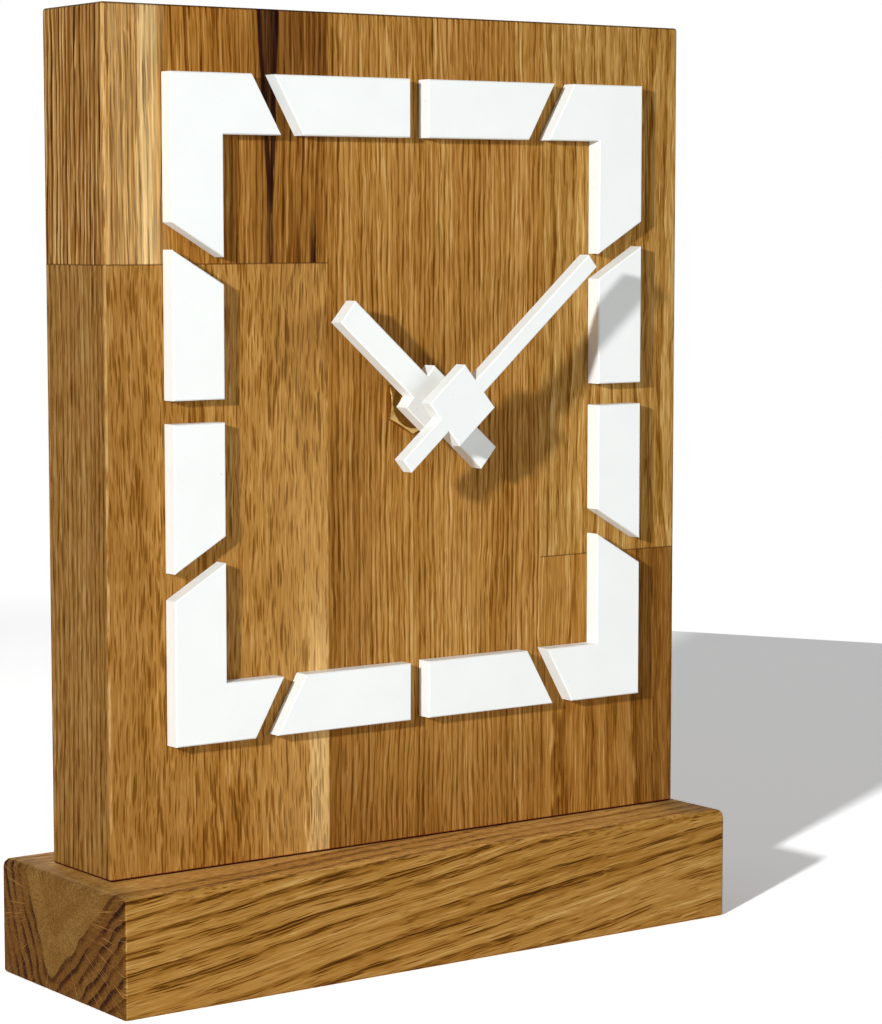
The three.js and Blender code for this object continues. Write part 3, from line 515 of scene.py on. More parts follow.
class OakSurface(Surface):
    """The node tree of one oak board."""

    def __init__(self, oak: OakFinish) -> None:
        """Set out the places and faces that the wood is drawn on.

        Args:
            oak: The board's finish.
        """
        super().__init__(oak.name)
        self.oak = oak
        upright = oak.grain is Grain.UPRIGHT
        self.across, _, self.height = self.separate(self.millimetres())
        x, y, z = self.separate(self.millimetres(oak.slope))
        self.place = self.combine(x, y, z) if upright else self.combine(y, z, x)
        self.moved = self.wandered()
        x, y, z = self.separate(self.coordinates["Normal"])
        self.corner = self.math("ABSOLUTE", self.math("MULTIPLY", x, y))
        side, end = (x, z) if upright else (z, x)
        self.end = self.math("ABSOLUTE", end)
        self.side_faces = self.band(self.math("ABSOLUTE", side), *SIDE_FACING)
        self.cut_across = self.band(self.end, *END_FACING)

    def build(self) -> bpy.types.Material:
        """Draw the wood, its streaks and joints, its worn edges with their painted highlight, and
        its end grain with the painted light on its sides and edges.

        Returns:
            The finished material.
        """
        oak = self.oak
        early, year = self.rings()
        pores = self.pores(early)
        across, along = oak.fibre_size
        fibre = self.noise(self.moved, Pattern((across, across, along), *FIBRE_LAYERS), oak.seed)
        tone = self.tone(fibre, pores, early, year)
        colour = self.multiply(self.ramp(tone, *OAK_TONES), oak.tint)
        if oak.streaks:
            colour = self.laid_streaks(tone, colour)
        colour = self.joint_line(oak.butt, *BUTT_LINE, colour)
        colour = self.joint_line(oak.foot, *FOOT_LINE, colour)
        colour = self.end_grain(self.edge_highlight_and_wear(colour))
        roughness = self.math("MULTIPLY_ADD", pores, PORE_ROUGHNESS, oak.roughness)
        self.finish(colour, roughness, specular=OILED_GLOSS)
        sunk = self.math("MULTIPLY", pores, -1.0)
        relief = self.math("MULTIPLY_ADD", fibre, FIBRE_RELIEF, sunk)
        self.bump(relief, RELIEF_DEPTH, RELIEF_STRENGTH)
        return self.material

    def wandered(self) -> Socket:
        """Move the place a little to and fro across the grain.

        Returns:
            The place where the fibres, pores and rings are read.
        """
        moved = self.place
        for pattern, reach in ((DRIFT, DRIFT_REACH), (CURL, CURL_REACH * self.oak.curl)):
            drift = self.noise(self.place, pattern, self.oak.seed, colour=True)
            drift = self.vector("SUBTRACT", drift, Vector((0.5, 0.5, 0.5)))
            drift = self.vector("MULTIPLY", drift, Vector((reach, reach, 0.0)))
            moved = self.vector("ADD", moved, drift)
        return moved

    def from_pith(self, place: Socket) -> Socket:
        """Return the way from the pith to a place, across the grain."""
        way = self.vector("SUBTRACT", place, Vector((*self.oak.pith, 0.0)))
        return self.vector("MULTIPLY", way, Vector((1.0, 1.0, 0.0)))

    def growth(self, place: Socket) -> Socket:
        """Measure how far out from the pith a place grew.

        Args:
            place: The place with the grain along the third axis.

        Returns:
            The distance, round the pith or in a blunt wedge.
        """
        way = self.from_pith(place)
        if not self.oak.wedge:
            return self.vector("LENGTH", way)
        sides = [self.vector("DOT_PRODUCT", way, Vector((*side, 0.0))) for side in self.oak.wedge]
        return self.math("SMOOTH_MAX", *sides, WEDGE_BLUNTNESS)

    def rings(self) -> tuple[Socket, Socket]:
        """Draw the year rings.

        Returns:
            How far each point is in the earlywood and its year's own tone, both from 0 to 1.
        """
        oak = self.oak
        growth = self.growth(self.moved)
        shift = self.noise(self.moved, RING_SHIFT, oak.seed)
        years = self.math("DIVIDE", growth, oak.ring)
        years = self.math("MULTIPLY_ADD", shift, RING_WANDER / oak.ring, years)
        within = self.math("FRACT", years)
        named = {"W": self.math("FLOOR", years)}
        year = self.add("TexWhiteNoise", noise_dimensions="1D", named=named).outputs["Value"]
        started = self.band(within, *EARLY_START)
        early = self.math("MULTIPLY", self.band(within, *EARLY_FADE), started)
        if oak.core:
            outside = self.band(growth, *(share * oak.core for share in CORE_EDGE))
            clear = self.band(self.noise(self.moved, FADED_RINGS, oak.seed), *RINGS_CLEAR)
            clear = self.math("MULTIPLY_ADD", clear, 1.0 - FAINTEST_RING, FAINTEST_RING)
            early = self.math("MULTIPLY", early, self.math("MULTIPLY", outside, clear))
        return early, year

    def ticks(self, reach: Triple, radius: object, soft: float, seed: float) -> Socket:
        """Scatter short strokes along the grain.

        Args:
            reach: How far apart the strokes lie along each axis.
            radius: A stroke's size as a share of that distance.
            soft: How far a stroke's edge fades, as such a share.
            seed: How far the pattern is shifted.

        Returns:
            1 on the strokes and 0 between them.
        """
        place = self.vector("ADD", self.moved, Vector([step * seed for step in SEED_STEP]))
        place = self.vector("MULTIPLY", place, Vector([1 / r for r in reach]))
        named = {"Vector": place, "Scale": 1.0, "Randomness": 1.0}
        cells = self.add("TexVoronoi", voronoi_dimensions="3D", feature="F1", named=named).outputs
        chance = self.separate(cells["Color"])[0]
        size = self.math("MULTIPLY_ADD", chance, STROKE_SPREAD, STROKE_LEAST)
        inside = self.math("SUBTRACT", self.math("MULTIPLY", size, radius), cells["Distance"])
        return self.math("ADD", self.math("DIVIDE", inside, soft), 0.5, clamp=True)

    def spaced(self, spacing: Triple) -> Triple:
        """Return how far apart strokes of the pores' size lie along each axis."""
        width, length = self.oak.pore_size
        return spacing[0] * width, spacing[1] * width, spacing[2] * length

    def pores(self, early: Socket) -> Socket:
        """Open the pores, which are densest in the earlywood.

        Args:
            early: How far each point is in the earlywood.

        Returns:
            1 in the pores and 0 between them.
        """
        oak = self.oak
        reach = self.spaced(PORE_SPACING)
        radius = self.math("MULTIPLY_ADD", early, oak.early_pores, oak.late_pores)
        large = self.ticks(reach, radius, PORE_FADE, oak.seed)
        reach, seed = scaled(reach, FINE_SPACING), oak.seed + FINE_PORES_SEED
        fine = self.ticks(reach, self.math("MULTIPLY", radius, FINE_RADIUS), FINE_FADE, seed)
        return self.math("MAXIMUM", large, self.math("MULTIPLY", fine, FINE_DEPTH))

    def tone(self, fibre: Socket, pores: Socket, early: Socket, year: Socket) -> Socket:
        """Add up the wood's tone.

        Args:
            fibre: The fibres' noise.
            pores: 1 in the pores.
            early: How far each point is in the earlywood.
            year: The year's own tone.

        Returns:
            The place on the row of tones, from 0 to 1.
        """
        oak = self.oak
        seed = oak.seed + FLECKS_SEED
        pale = self.ticks(self.spaced(FLECK_SPACING), FLECK_RADIUS, FLECK_FADE, seed)
        cloud = self.noise(self.place, CLOUDS, oak.seed)
        tone = self.swing(fibre, 0.5, oak.fibre_share, oak.level)
        tone = self.swing(cloud, 0.5, oak.cloud_share, tone)
        tone = self.swing(year, 0.5, oak.year_share, tone)
        broken = self.band(self.noise(self.place, BROKEN_RINGS, oak.seed), *RINGS_BROKEN)
        drawn = self.math("MULTIPLY", broken, -oak.side_rings)
        drawn = self.math("MULTIPLY", self.side_faces, drawn)
        drawn = self.math("SUBTRACT", drawn, oak.ring_share)
        drawn = self.math("MULTIPLY_ADD", self.cut_across, -oak.end_rings, drawn)
        tone = self.swing(early, EARLY_MIDDLE, drawn, tone)
        tone = self.math("MULTIPLY_ADD", pale, oak.fleck_share, tone)
        return self.math("MULTIPLY_ADD", pores, -oak.pore_share, tone, clamp=True)

    def laid_streaks(self, tone: Socket, colour: Socket) -> Socket:
        """Lay the bands of another tone over the wood.

        Args:
            tone: The wood's tone, which shows through the bands.
            colour: The wood's colour so far.

        Returns:
            The colour with the bands laid over it.
        """
        wobble = self.noise(self.place, STREAK_EDGES, self.oak.seed)
        wobble = self.swing(wobble, 0.5, EDGE_WOBBLE, 0.0)
        wobble = self.swing(tone, 0.5, TONE_WOBBLE, wobble)
        strand = self.band(self.noise(self.place, STRANDS, self.oak.seed), *STRANDS_SHOWN)
        shade = self.ramp(tone, *STREAK_SHADE)
        for streak in self.oak.streaks:
            stray = max(streak.stray, min(streak.soft, MOST_STRAY))
            x = self.math("MULTIPLY_ADD", wobble, stray, self.across)
            if streak.lean:
                x = self.swing(self.height, LEAN_FROM, -streak.lean, x)
            share = self.math(
                "MULTIPLY",
                self.band(x, streak.left - streak.soft, streak.left + streak.soft),
                self.band(x, streak.right + streak.soft, streak.right - streak.soft),
            )
            share = self.math("MULTIPLY", share, self.band(self.height, streak.low, streak.high))
            kept = self.math("MULTIPLY_ADD", strand, streak.fibrous, 1.0 - streak.fibrous)
            share = self.math("MULTIPLY", share, self.math("MULTIPLY", kept, streak.amount))
            colour = self.mix(share, colour, self.multiply(streak.colour, shade))
        return colour

    def joint_line(self, level: float, dark: Colour, amount: float, colour: Socket) -> Socket:
        """Draw the thin dark line of a joint.

        Args:
            level: The joint's height.
            dark: The line's colour.
            amount: How much of the wood the line covers.
            colour: The wood's colour so far.

        Returns:
            The colour with the line drawn on it.
        """
        gap = self.math("ABSOLUTE", self.math("SUBTRACT", self.height, level))
        line = self.math("MULTIPLY", self.band(gap, LINE_WIDTH * amount, LINE_HEART), amount)
        return self.mix(line, colour, dark)

    def edge_highlight_and_wear(self, colour: Socket) -> Socket:
        """Paint a highlight on the eased upright edges, broken into patches where the oil is rubbed
        off here and there.

        Args:
            colour: The wood's colour so far.

        Returns:
            The colour with the painted highlight and the worn patches.
        """
        patch = self.band(self.noise(self.place, WEAR_AND_HIGHLIGHT_PATCHES, self.oak.seed), *WEAR_AND_HIGHLIGHT_WHERE)
        patch = self.math("MULTIPLY", patch, WEAR_AND_HIGHLIGHT_SHARE)
        share = self.math("MULTIPLY", self.band(self.corner, *CORNER_FACING), patch)
        return self.mix(share, colour, EDGE_HIGHLIGHT_TONE)

    def sides_with_painted_light(self, colour: Socket) -> Socket:
        """Colour the sides next to the front face with their own tone, plus painted light and a
        painted sheen where a board has them.

        Args:
            colour: The front's colour.

        Returns:
            The sides' colour.
        """
        oak = self.oak
        # side_tone_and_light darkens the staves' sides, their own tone, and brightens the base's
        # top as painted light.
        sides_with_painted_light = self.multiply(colour, grey(oak.side_tone_and_light))
        if oak.side_sheen:
            # A painted sheen, pale and grey, laid over the sides.
            sides_with_painted_light = self.mix(oak.side_sheen, sides_with_painted_light, PAINTED_SHEEN_TONE)
        # The sides are darker towards the ends.
        if oak.side_end_share < 1.0:
            along = self.math("ABSOLUTE", self.separate(self.place)[2])
            beside_ends = self.band(along, *NEAR_ENDS)
            sides_with_painted_light = self.mix(beside_ends, sides_with_painted_light, self.multiply(sides_with_painted_light, grey(oak.side_end_share)))
        return sides_with_painted_light

    def end_grain(self, colour: Socket) -> Socket:
        """Darken the faces that cut across the grain, which soak up more oil, and draw their rays.
        Also colour the sides with their tone and painted light, and paint shade on the eased edges.

        Args:
            colour: The wood's colour so far.

        Returns:
            The colour of all faces.
        """
        oak = self.oak
        # The sides take their own tone and their painted light here.
        colour = self.mix(self.side_faces, colour, self.sides_with_painted_light(colour))
        mottle = self.noise(self.place, MOTTLE, oak.seed)
        shades = (grey(share * oak.end_share) for share in END_MOTTLE)
        oiled = self.multiply(colour, self.ramp(mottle, *zip(MOTTLE_STOPS, shades)))
        # Painted shade on the eased edges round the end grain: a thin dark line along them.
        flat = self.band(self.end, *FLAT_END)
        edge = self.ramp(flat, (0.0, grey(oak.edge_painted_shade)), (1.0, grey(1.0)))
        oiled = self.multiply(oiled, edge)
        if oak.core:
            far = self.band(self.growth(self.place), *(share * oak.core for share in HEART_EDGE))
            rim = scaled(RIM_TINT, oak.rim_share)
            oiled = self.multiply(oiled, self.ramp(far, (0.0, HEART_TINT), (1.0, rim)))
        rays = self.math("MULTIPLY", self.rays(), oak.ray_share)
        return self.mix(self.cut_across, colour, self.mix(rays, oiled, RAY_TONE))

    def rays(self) -> Socket:
        """Draw the rays, thin plates that run outwards from the pith.

        Returns:
            1 in the rays and 0 between them.
        """
        way = self.from_pith(self.place)
        a, b, _ = self.separate(way)
        turn = self.math("MULTIPLY", self.math("ARCTAN2", b, a), RAYS_ROUND)
        place = self.combine(turn, self.vector("LENGTH", way), 0.0)
        return self.band(self.noise(place, RAY_FLECKS, self.oak.seed), *RAYS_SHOWN)


FINE_TEXTURE = Pattern(grey(0.5), 3.0, 0.6)
SOFT_SHADE = Pattern(grey(14.0))
SPECKS = Pattern(grey(0.9), 1.0, 0.4, 31.0)
STAINS = Pattern(grey(2.5), 3.0, 0.6, 5.0)
SHRUNK_FILM = Pattern((9.0, 3.0, 3.0), 2.0, 0.5, 2.0)

SHADED, SHADED_SHARE = (0.3, 0.7), 0.975
SPECKED, SPECK_DARKNESS = (0.735, 0.78), 0.55
PLASTIC_SWING, PLASTIC_GLOSS, PLASTIC_RELIEF, LAYER_RELIEF = 0.12, 0.4, 0.8, 1.2
STAINED, STAIN_SHARE, STAIN_SWING = (0.35, 0.7), 0.82, 0.16
SCRATCH_LAYERS, SCRATCH_RELIEF = (3.0, 0.6), 0.6
SLEEVE_EDGE, STRIPE_EDGE = 0.05, 0.1
FILM_SHOWN, FILM_SHARE, FILM_SWING, FILM_ROUGHNESS = (0.3, 0.8), 0.82, 0.1, 0.24
FILM_DEPTH, FILM_RELIEF = 0.02, 0.4


@dataclass(frozen=True)
class PlasticFinish:
    """Moulded or printed plastic.

    Attributes:
        name: The material's name.
        colour: Its colour.
        roughness: Its roughness.
        speck_share: How strongly the small dark specks show.
        layer: The height of one printed layer, or 0 for a moulded piece.
        texture: The depth of the surface's fine texture.
    """

    name: str
    colour: Colour
    roughness: float = 0.42
    speck_share: float = 0.0
    layer: float = 0.0
    texture: float = 0.01

    def material(self) -> bpy.types.Material:
        """Build the plastic.

        Returns:
            The finished material.
        """
        graph = Surface(self.name)
        place = graph.millimetres()
        relief = fine = graph.noise(place, FINE_TEXTURE)
        shade = graph.band(graph.noise(place, SOFT_SHADE), *SHADED)
        colour = graph.mix(shade, scaled(self.colour, SHADED_SHARE), self.colour)
        if self.speck_share:
            specks = graph.band(graph.noise(place, SPECKS), *SPECKED)
            specks = graph.math("MULTIPLY", specks, self.speck_share)
            colour = graph.mix(specks, colour, scaled(self.colour, SPECK_DARKNESS))
        least = self.roughness - PLASTIC_SWING / 2
        roughness = graph.math("MULTIPLY_ADD", fine, PLASTIC_SWING, least)
        graph.finish(colour, roughness, specular=PLASTIC_GLOSS)
        if self.layer:
            depth = graph.separate(place)[1]
            wave = graph.math("SINE", graph.math("MULTIPLY", depth, 2 * math.pi / self.layer))
            relief = graph.math("MULTIPLY_ADD", wave, LAYER_RELIEF, fine)
        graph.bump(relief, self.texture, PLASTIC_RELIEF)
        return graph.material


@dataclass(frozen=True)
class MetalFinish:
    """Bare or plated metal.

    Attributes:
        name: The material's name.
        colour: Its colour.
        roughness: Its roughness.
        scratch: The size of its fine scratches along each axis.
        depth: Their depth.
    """

    name: str
    colour: Colour
    roughness: float = 0.25
    scratch: Triple = (0.15, 4.0, 0.15)
    depth: float = 0.003

    def material(self) -> bpy.types.Material:
        """Build the metal.

        Returns:
            The finished material.
        """
        graph = Surface(self.name)
        place = graph.millimetres()
        stains = graph.noise(place, STAINS)
        clean = graph.band(stains, *STAINED)
        colour = graph.mix(clean, scaled(self.colour, STAIN_SHARE), self.colour)
        least = self.roughness - STAIN_SWING / 2
        roughness = graph.math("MULTIPLY_ADD", stains, STAIN_SWING, least)
        graph.finish(colour, roughness, metallic=1.0)
        scratches = graph.noise(place, Pattern(self.scratch, *SCRATCH_LAYERS))
        graph.bump(scratches, self.depth, SCRATCH_RELIEF)
        return graph.material


@dataclass(frozen=True)
class CellFinish:
    """A battery cell's shrunk sleeve, with the can's bare steel at both ends.

    Attributes:
        name: The material's name.
        sleeve: The sleeve's colour.
        stripe: The colour of the plain stripe at the positive end.
        ends: The x of the sleeve's two ends.
        stripe_from: The x where the stripe begins.
        can: The bare can's colour.
    """

    name: str
    sleeve: Colour
    stripe: Colour
    ends: Pair
    stripe_from: float
    can: Colour = (0.78, 0.78, 0.76)

    def material(self) -> bpy.types.Material:
        """Build the cell's material.

        Returns:
            The finished material.
        """
        graph = Surface(self.name)
        place = graph.millimetres()
        x = graph.separate(place)[0]
        left, right = self.ends
        bare_left = graph.band(x, left + SLEEVE_EDGE, left - SLEEVE_EDGE)
        bare_right = graph.band(x, right - SLEEVE_EDGE, right + SLEEVE_EDGE)
        bare = graph.math("ADD", bare_left, bare_right, clamp=True)
        start = self.stripe_from
        striped = graph.band(x, start - STRIPE_EDGE, start + STRIPE_EDGE)
        printed = graph.mix(striped, self.sleeve, self.stripe)
        film = graph.noise(place, SHRUNK_FILM)
        shine = graph.band(film, *FILM_SHOWN)
        printed = graph.mix(shine, printed, graph.multiply(printed, grey(FILM_SHARE)))
        colour = graph.mix(bare, printed, self.can)
        roughness = graph.math("MULTIPLY_ADD", film, FILM_SWING, FILM_ROUGHNESS)
        graph.finish(colour, roughness, metallic=bare)
        graph.bump(film, FILM_DEPTH, FILM_RELIEF)
        return graph.material


def ease(mesh: Mesh, geom: list, width: float, segments: int = 2, affect: str = "EDGES") -> None:
    """Bevel edges or corners.

    Args:
        mesh: The mesh that they belong to.
        geom: The edges or vertices.
        width: The bevel's width, in the mesh's own unit.
        segments: How many faces go round the bevel.
        affect: Whether edges or vertices are bevelled.
    """
    bmesh.ops.bevel(
        mesh,
        geom=geom,
        offset=width,
        offset_type="OFFSET",
        segments=segments,
        profile=0.5,
        affect=affect,
        clamp_overlap=affect == "EDGES",
        material=-1,
    )


def corners(made: dict) -> list[bmesh.types.BMVert]:
    """Return the vertices among what a bmesh operator made."""
    return [item for item in made["geom"] if isinstance(item, bmesh.types.BMVert)]


def linked(name: str, data: bpy.types.ID) -> bpy.types.Object:
    """Put new data into the scene.

    Args:
        name: The new object's name.
        data: Its mesh, lamp or camera.

    Returns:
        The new object.
    """
    item = bpy.data.objects.new(name, data)
    bpy.context.scene.collection.objects.link(item)
    return item


class Dresser:
    """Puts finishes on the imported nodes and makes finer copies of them."""

    def __init__(self, frame: dict) -> None:
        """Keep the frame and each node's body and material slot.
        """
        record = frame["record"]
        self.nodes: dict[str, bpy.types.Object] = frame["nodes"]
        self.slots = {part["node"]: part["material_slot"] for part in record["subparts"]}
        bodies = record["behaviour"]["bodies"]
        self.bodies = {node: body for body, members in bodies.items() for node in members}
        self.made: dict[str, bpy.types.Material] = {}

    def material(self, finish: Finish) -> bpy.types.Material:
        """Build a finish's material the first time that it is asked for.

        Args:
            finish: The finish.

        Returns:
            Its material.
        """
        if finish.name not in self.made:
            self.made[finish.name] = finish.material()
        return self.made[finish.name]

    def dress(self, node: str, finish: Finish) -> None:
        """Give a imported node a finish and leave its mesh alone.

        Args:
            node: The node's name.
            finish: Its finish.
        """
        piece = self.nodes[node]
        piece.data.materials.clear()
        piece.data.materials.append(self.material(finish))
        LOG.info("dressed %s with %s", node, finish.name)

    def add_piece(
        self, name: str, mesh: Mesh, body: str, finish: Finish
    ) -> bpy.types.Object:
        """Make an object from a bmesh that rides on a body.

        Args:
            name: The new piece's name.
            mesh: Its shape, in place. It is freed here.
            body: The body that it rides on.
            finish: Its finish.

        Returns:
            The new object.
        """
        data = bpy.data.meshes.new(name)
        mesh.to_mesh(data)
        mesh.free()
        data.materials.append(self.material(finish))
        piece = linked(name, data)
        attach(piece, body)
        LOG.info("made %s on %s with %s", name, body, finish.name)
        return piece

    def stand_in(self, name: str, mesh: Mesh, node: str, finish: Finish) -> bpy.types.Object:
        """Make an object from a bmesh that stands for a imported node.

        Args:
            name: The new piece's name.
            mesh: Its shape, in place. It is freed here.
            node: The node that it stands for.
            finish: Its finish.

        Returns:
            The new object.
        """
        piece = self.add_piece(name, mesh, self.bodies[node], finish)
        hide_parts(node)
        return piece

    def smooth_copy(
        self, node: str, finish: Finish, sharp: float = 35.0, bevel: float = 0.0
    ) -> None:
        """Stand a smooth-shaded copy in for a node, with its flat areas as single faces.

        Args:
            node: The node's name.
            finish: Its finish.
            sharp: The angle in degrees over which an edge stays sharp.
            bevel: The width that sharp edges are bevelled by.
        """
        mesh = bmesh.new()
        mesh.from_mesh(self.nodes[node].data)
        bmesh.ops.remove_doubles(mesh, verts=mesh.verts, dist=2e-6)
        bmesh.ops.dissolve_limit(
            mesh, angle_limit=math.radians(0.4), verts=mesh.verts, edges=mesh.edges
        )
        limit = math.radians(sharp)
        if bevel:
            edges = [e for e in mesh.edges if e.is_manifold and e.calc_face_angle() > limit]
            ease(mesh, edges, bevel * MM)
        for face in mesh.faces:
            face.smooth = True
        for edge in mesh.edges:
            edge.smooth = not (edge.is_manifold and edge.calc_face_angle() > limit)
        piece = self.stand_in(f"{node}_finished", mesh, node, finish)
        weighted = piece.modifiers.new("weighted_normals", "WEIGHTED_NORMAL")
        weighted.keep_sharp = True
        weighted.weight = 100


LEFT_BUTT, RIGHT_BUTT = 169.3, 95.1
CREAM = linear(226, 184, 118)
STREAK_DARK = linear(38, 8, 3)

STAVES: tuple[OakFinish, ...] = (
    OakFinish(
        "oak_left_upper",
        pith=(-260.0, -165.0),
        seed=1.0,
        level=0.5,
        tint=(1.0, 0.935, 0.83),
        ring=1.3,
        side_tone_and_light=0.72,
        side_rings=0.3,
        fibre_share=1.3,
        fibre_size=(0.5, 60.0),
        pore_size=(0.34, 11.0),
        cloud_share=0.15,
        curl=0.25,
        butt=LEFT_BUTT,
        streaks=(
            Streak(-83.2, -67.5, CREAM, amount=0.7, fibrous=0.75),
            Streak(-74.0, -69.5, linear(240, 202, 138), soft=0.7, amount=0.9, fibrous=0.6),
            Streak(-48.0, -18.0, linear(84, 42, 2), soft=7.0, amount=0.34),
            Streak(-36.5, -18.0, linear(92, 50, 10), 206.0, 214.0, 3.0, 0.5, 0.2),
            Streak(-41.2, -36.9, linear(50, 24, 8), 188.0, 208.0, 0.35, 0.97, 0.25, 0.4),
            Streak(-39.7, -36.9, linear(72, 30, 8), 186.0, 173.0, 0.5, 0.6, 0.5, 0.5),
            Streak(-39.2, -38.1, linear(44, 10, 3), 196.0, 186.0, 0.2, 0.75, 0.2, 0.4),
            Streak(-39.6, -38.4, STREAK_DARK, 178.0, 189.0, 0.2, 1.0, 0.1, 0.3, -0.068),
            Streak(-38.8, -37.5, STREAK_DARK, 178.0, 189.0, 0.2, 1.0, 0.1, 0.3, 0.04),
            Streak(-27.3, -25.9, linear(44, 12, 3), 183.0, 172.0, 0.3, 1.0, 0.15, 0.3),
            Streak(-31.4, -30.6, linear(84, 36, 8), 184.0, 173.0, 0.3, 0.75, 0.3, 0.4),
        ),
    ),
    OakFinish(
        "oak_left_lower",
        pith=(-40.0, 190.0),
        seed=2.0,
        level=0.62,
        ring=2.1,
        ring_share=0.05,
        side_tone_and_light=0.7,
        side_rings=0.26,
        fibre_share=0.6,
        fibre_size=(0.45, 24.0),
        pore_share=0.26,
        pore_size=(0.36, 5.6),
        late_pores=0.36,
        early_pores=0.1,
        cloud_share=0.25,
        butt=LEFT_BUTT,
        streaks=(
            Streak(-100.0, -66.0, linear(122, 76, 16), soft=14.0, amount=0.34, fibrous=0.2),
            Streak(-38.0, -10.0, linear(200, 154, 86), soft=6.0, amount=0.34, fibrous=0.2),
            Streak(-28.0, -20.0, CREAM, 100.0, 60.0, 0.35, 0.9, 0.3),
        ),
    ),
    OakFinish(
        "oak_centre",
        pith=(260.0, 60.0),
        seed=3.0,
        level=0.56,
        ring=1.5,
        fibre_size=(0.4, 50.0),
        pore_size=(0.27, 7.0),
        late_pores=0.32,
        cloud_share=0.5,
        curl=0.3,
        streaks=(
            Streak(-40.0, -9.0, linear(122, 72, 14), 150.0, 112.0, 6.0, 0.42, 0.2),
            Streak(-40.0, 60.0, linear(124, 76, 18), 80.0, 40.0, 6.0, 0.34, 0.2),
        ),
    ),
    OakFinish(
        "oak_right_upper",
        pith=(150.0, 160.0),
        seed=4.0,
        level=0.62,
        tint=(0.97, 1.02, 1.03),
        ring=1.7,
        fibre_share=0.85,
        pore_size=(0.28, 6.0),
        butt=RIGHT_BUTT,
    ),
    OakFinish(
        "oak_right_lower",
        pith=(20.0, 170.0),
        seed=5.0,
        level=0.54,
        tint=(0.9, 0.86, 0.76),
        fibre_share=1.1,
        fibre_size=(0.5, 40.0),
        pore_share=0.14,
        butt=RIGHT_BUTT,
        streaks=(
            Streak(72.0, 200.0, linear(112, 68, 18), soft=14.0, amount=0.6, fibrous=0.4),
        ),
    ),
)

BASE_OAK = OakFinish(
    "oak_base",
    pith=(2.3, 30.9),
    seed=6.0,
    level=0.51,
    tint=(0.94, 0.98, 0.96),
    ring=3.1,
    ring_share=0.21,
    fibre_size=(0.32, 30.0),
    pore_share=0.34,
    pore_size=(0.24, 11.0),
    late_pores=0.24,
    early_pores=0.27,
    cloud_share=0.3,
    curl=0.25,
    grain=Grain.LENGTHWISE,
    slope=math.radians(7.0),
    foot=NOWHERE,
    end_share=0.46,
    end_rings=0.3,
    edge_painted_shade=1.0,
    # The base's top is made brighter by painted light, with a painted sheen, and darker towards the
    # ends.
    side_tone_and_light=1.48,
    side_sheen=0.1,
    side_end_share=0.52,
    ray_share=0.6,
    core=10.5,
    wedge=((0.92, -0.39), (-0.67, -0.74)),
    rim_share=0.6,
)

NATURAL_PLASTIC = PlasticFinish("natural_plastic", linear(236, 230, 212), 0.4)


@dataclass
class OakBlock:
    """The block of five glued staves, each with its own grain."""

    staves: tuple[OakFinish, ...] = STAVES

    def build(self, dresser: Dresser) -> None:
        """Dress the five staves."""
        for finish in self.staves:
            dresser.smooth_copy(finish.name.replace("oak", "stave"), finish)


@dataclass
class OakBase:
    """The beam that the block stands on, with its end grain and rounded edges."""

    finish: OakFinish = BASE_OAK

    def build(self, dresser: Dresser) -> None:
        """Dress the base."""
        dresser.smooth_copy("base_block", self.finish)


@dataclass
class Dial:
    """The white markers and hands."""

    white: PlasticFinish = PlasticFinish(
        "white_plastic", (0.918, 0.951, 0.934), 0.45, speck_share=0.35, layer=0.32, texture=0.012
    )

    def build(self, dresser: Dresser) -> None:
        """Dress the markers and the hands.

        Args:
            dresser: What dresses them.
        """
        for node in sorted(dresser.nodes):
            if node.startswith("marker_") or node.endswith("_hand"):
                dresser.dress(node, self.white)


@dataclass
class ShaftHardware:
    """The nut, the threaded bush, the tube and the arbor in the middle of the dial."""

    # The brass is darker than bright brass: partly painted shade, for the nut sits in the hands'
    # shadow.
    brass: MetalFinish = MetalFinish("polished_brass", (0.52, 0.34, 0.12), 0.26)
    shaft: Pair = (1.5, 135.6)
    bush_bore: float = 2.54
    bush_radius: float = 3.97
    flange_radius: float = 5.98
    bush_reach: Triple = (-14.8, -4.3, -3.3)
    bush_steps: int = 64
    thread_pitch: float = 0.4
    thread_depth: float = 0.18
    thread_turns: int = 8
    nut_sharp: float = 20.0
    nut_ease: float = 0.08

    def bush(self) -> Mesh:
        """Turn the bush, with its thread where it stands out of the nut.

        Returns:
            The turned bush, in metres.
        """
        front, flange, back = self.bush_reach
        outline = [(self.bush_bore, back), (self.bush_bore, front)]
        for turn in range(self.thread_turns):
            along = front + turn * self.thread_pitch
            outline.append((self.bush_radius - self.thread_depth, along))
            outline.append((self.bush_radius, along + self.thread_pitch / 2))
        outline += [
            (self.bush_radius, flange),
            (self.flange_radius, flange),
            (self.flange_radius, back),
        ]
        x, z = self.shaft
        mesh = bmesh.new()
        points = [mesh.verts.new(Vector((x + radius, y, z)) * MM) for radius, y in outline]
        lines = [mesh.edges.new(pair) for pair in zip(points, [*points[1:], points[0]])]
        bmesh.ops.spin(
            mesh,
            geom=[*points, *lines],
            cent=Vector((x, 0.0, z)) * MM,
            axis=Vector((0.0, 1.0, 0.0)),
            angle=math.radians(FULL_TURN),
            steps=self.bush_steps,
            use_merge=True,
        )
        bmesh.ops.recalc_face_normals(mesh, faces=mesh.faces)
        return mesh

    def build(self, dresser: Dresser) -> None:
        """Dress the pieces on the shaft.

        Args:
            dresser: What dresses them.
        """
        dresser.smooth_copy("hex_nut", self.brass, self.nut_sharp, self.nut_ease)
        dresser.stand_in("threaded_bush_cut", self.bush(), "threaded_bush", self.brass)
        dresser.smooth_copy("minute_arbor", self.brass)
        dresser.smooth_copy("hour_wheel", NATURAL_PLASTIC)


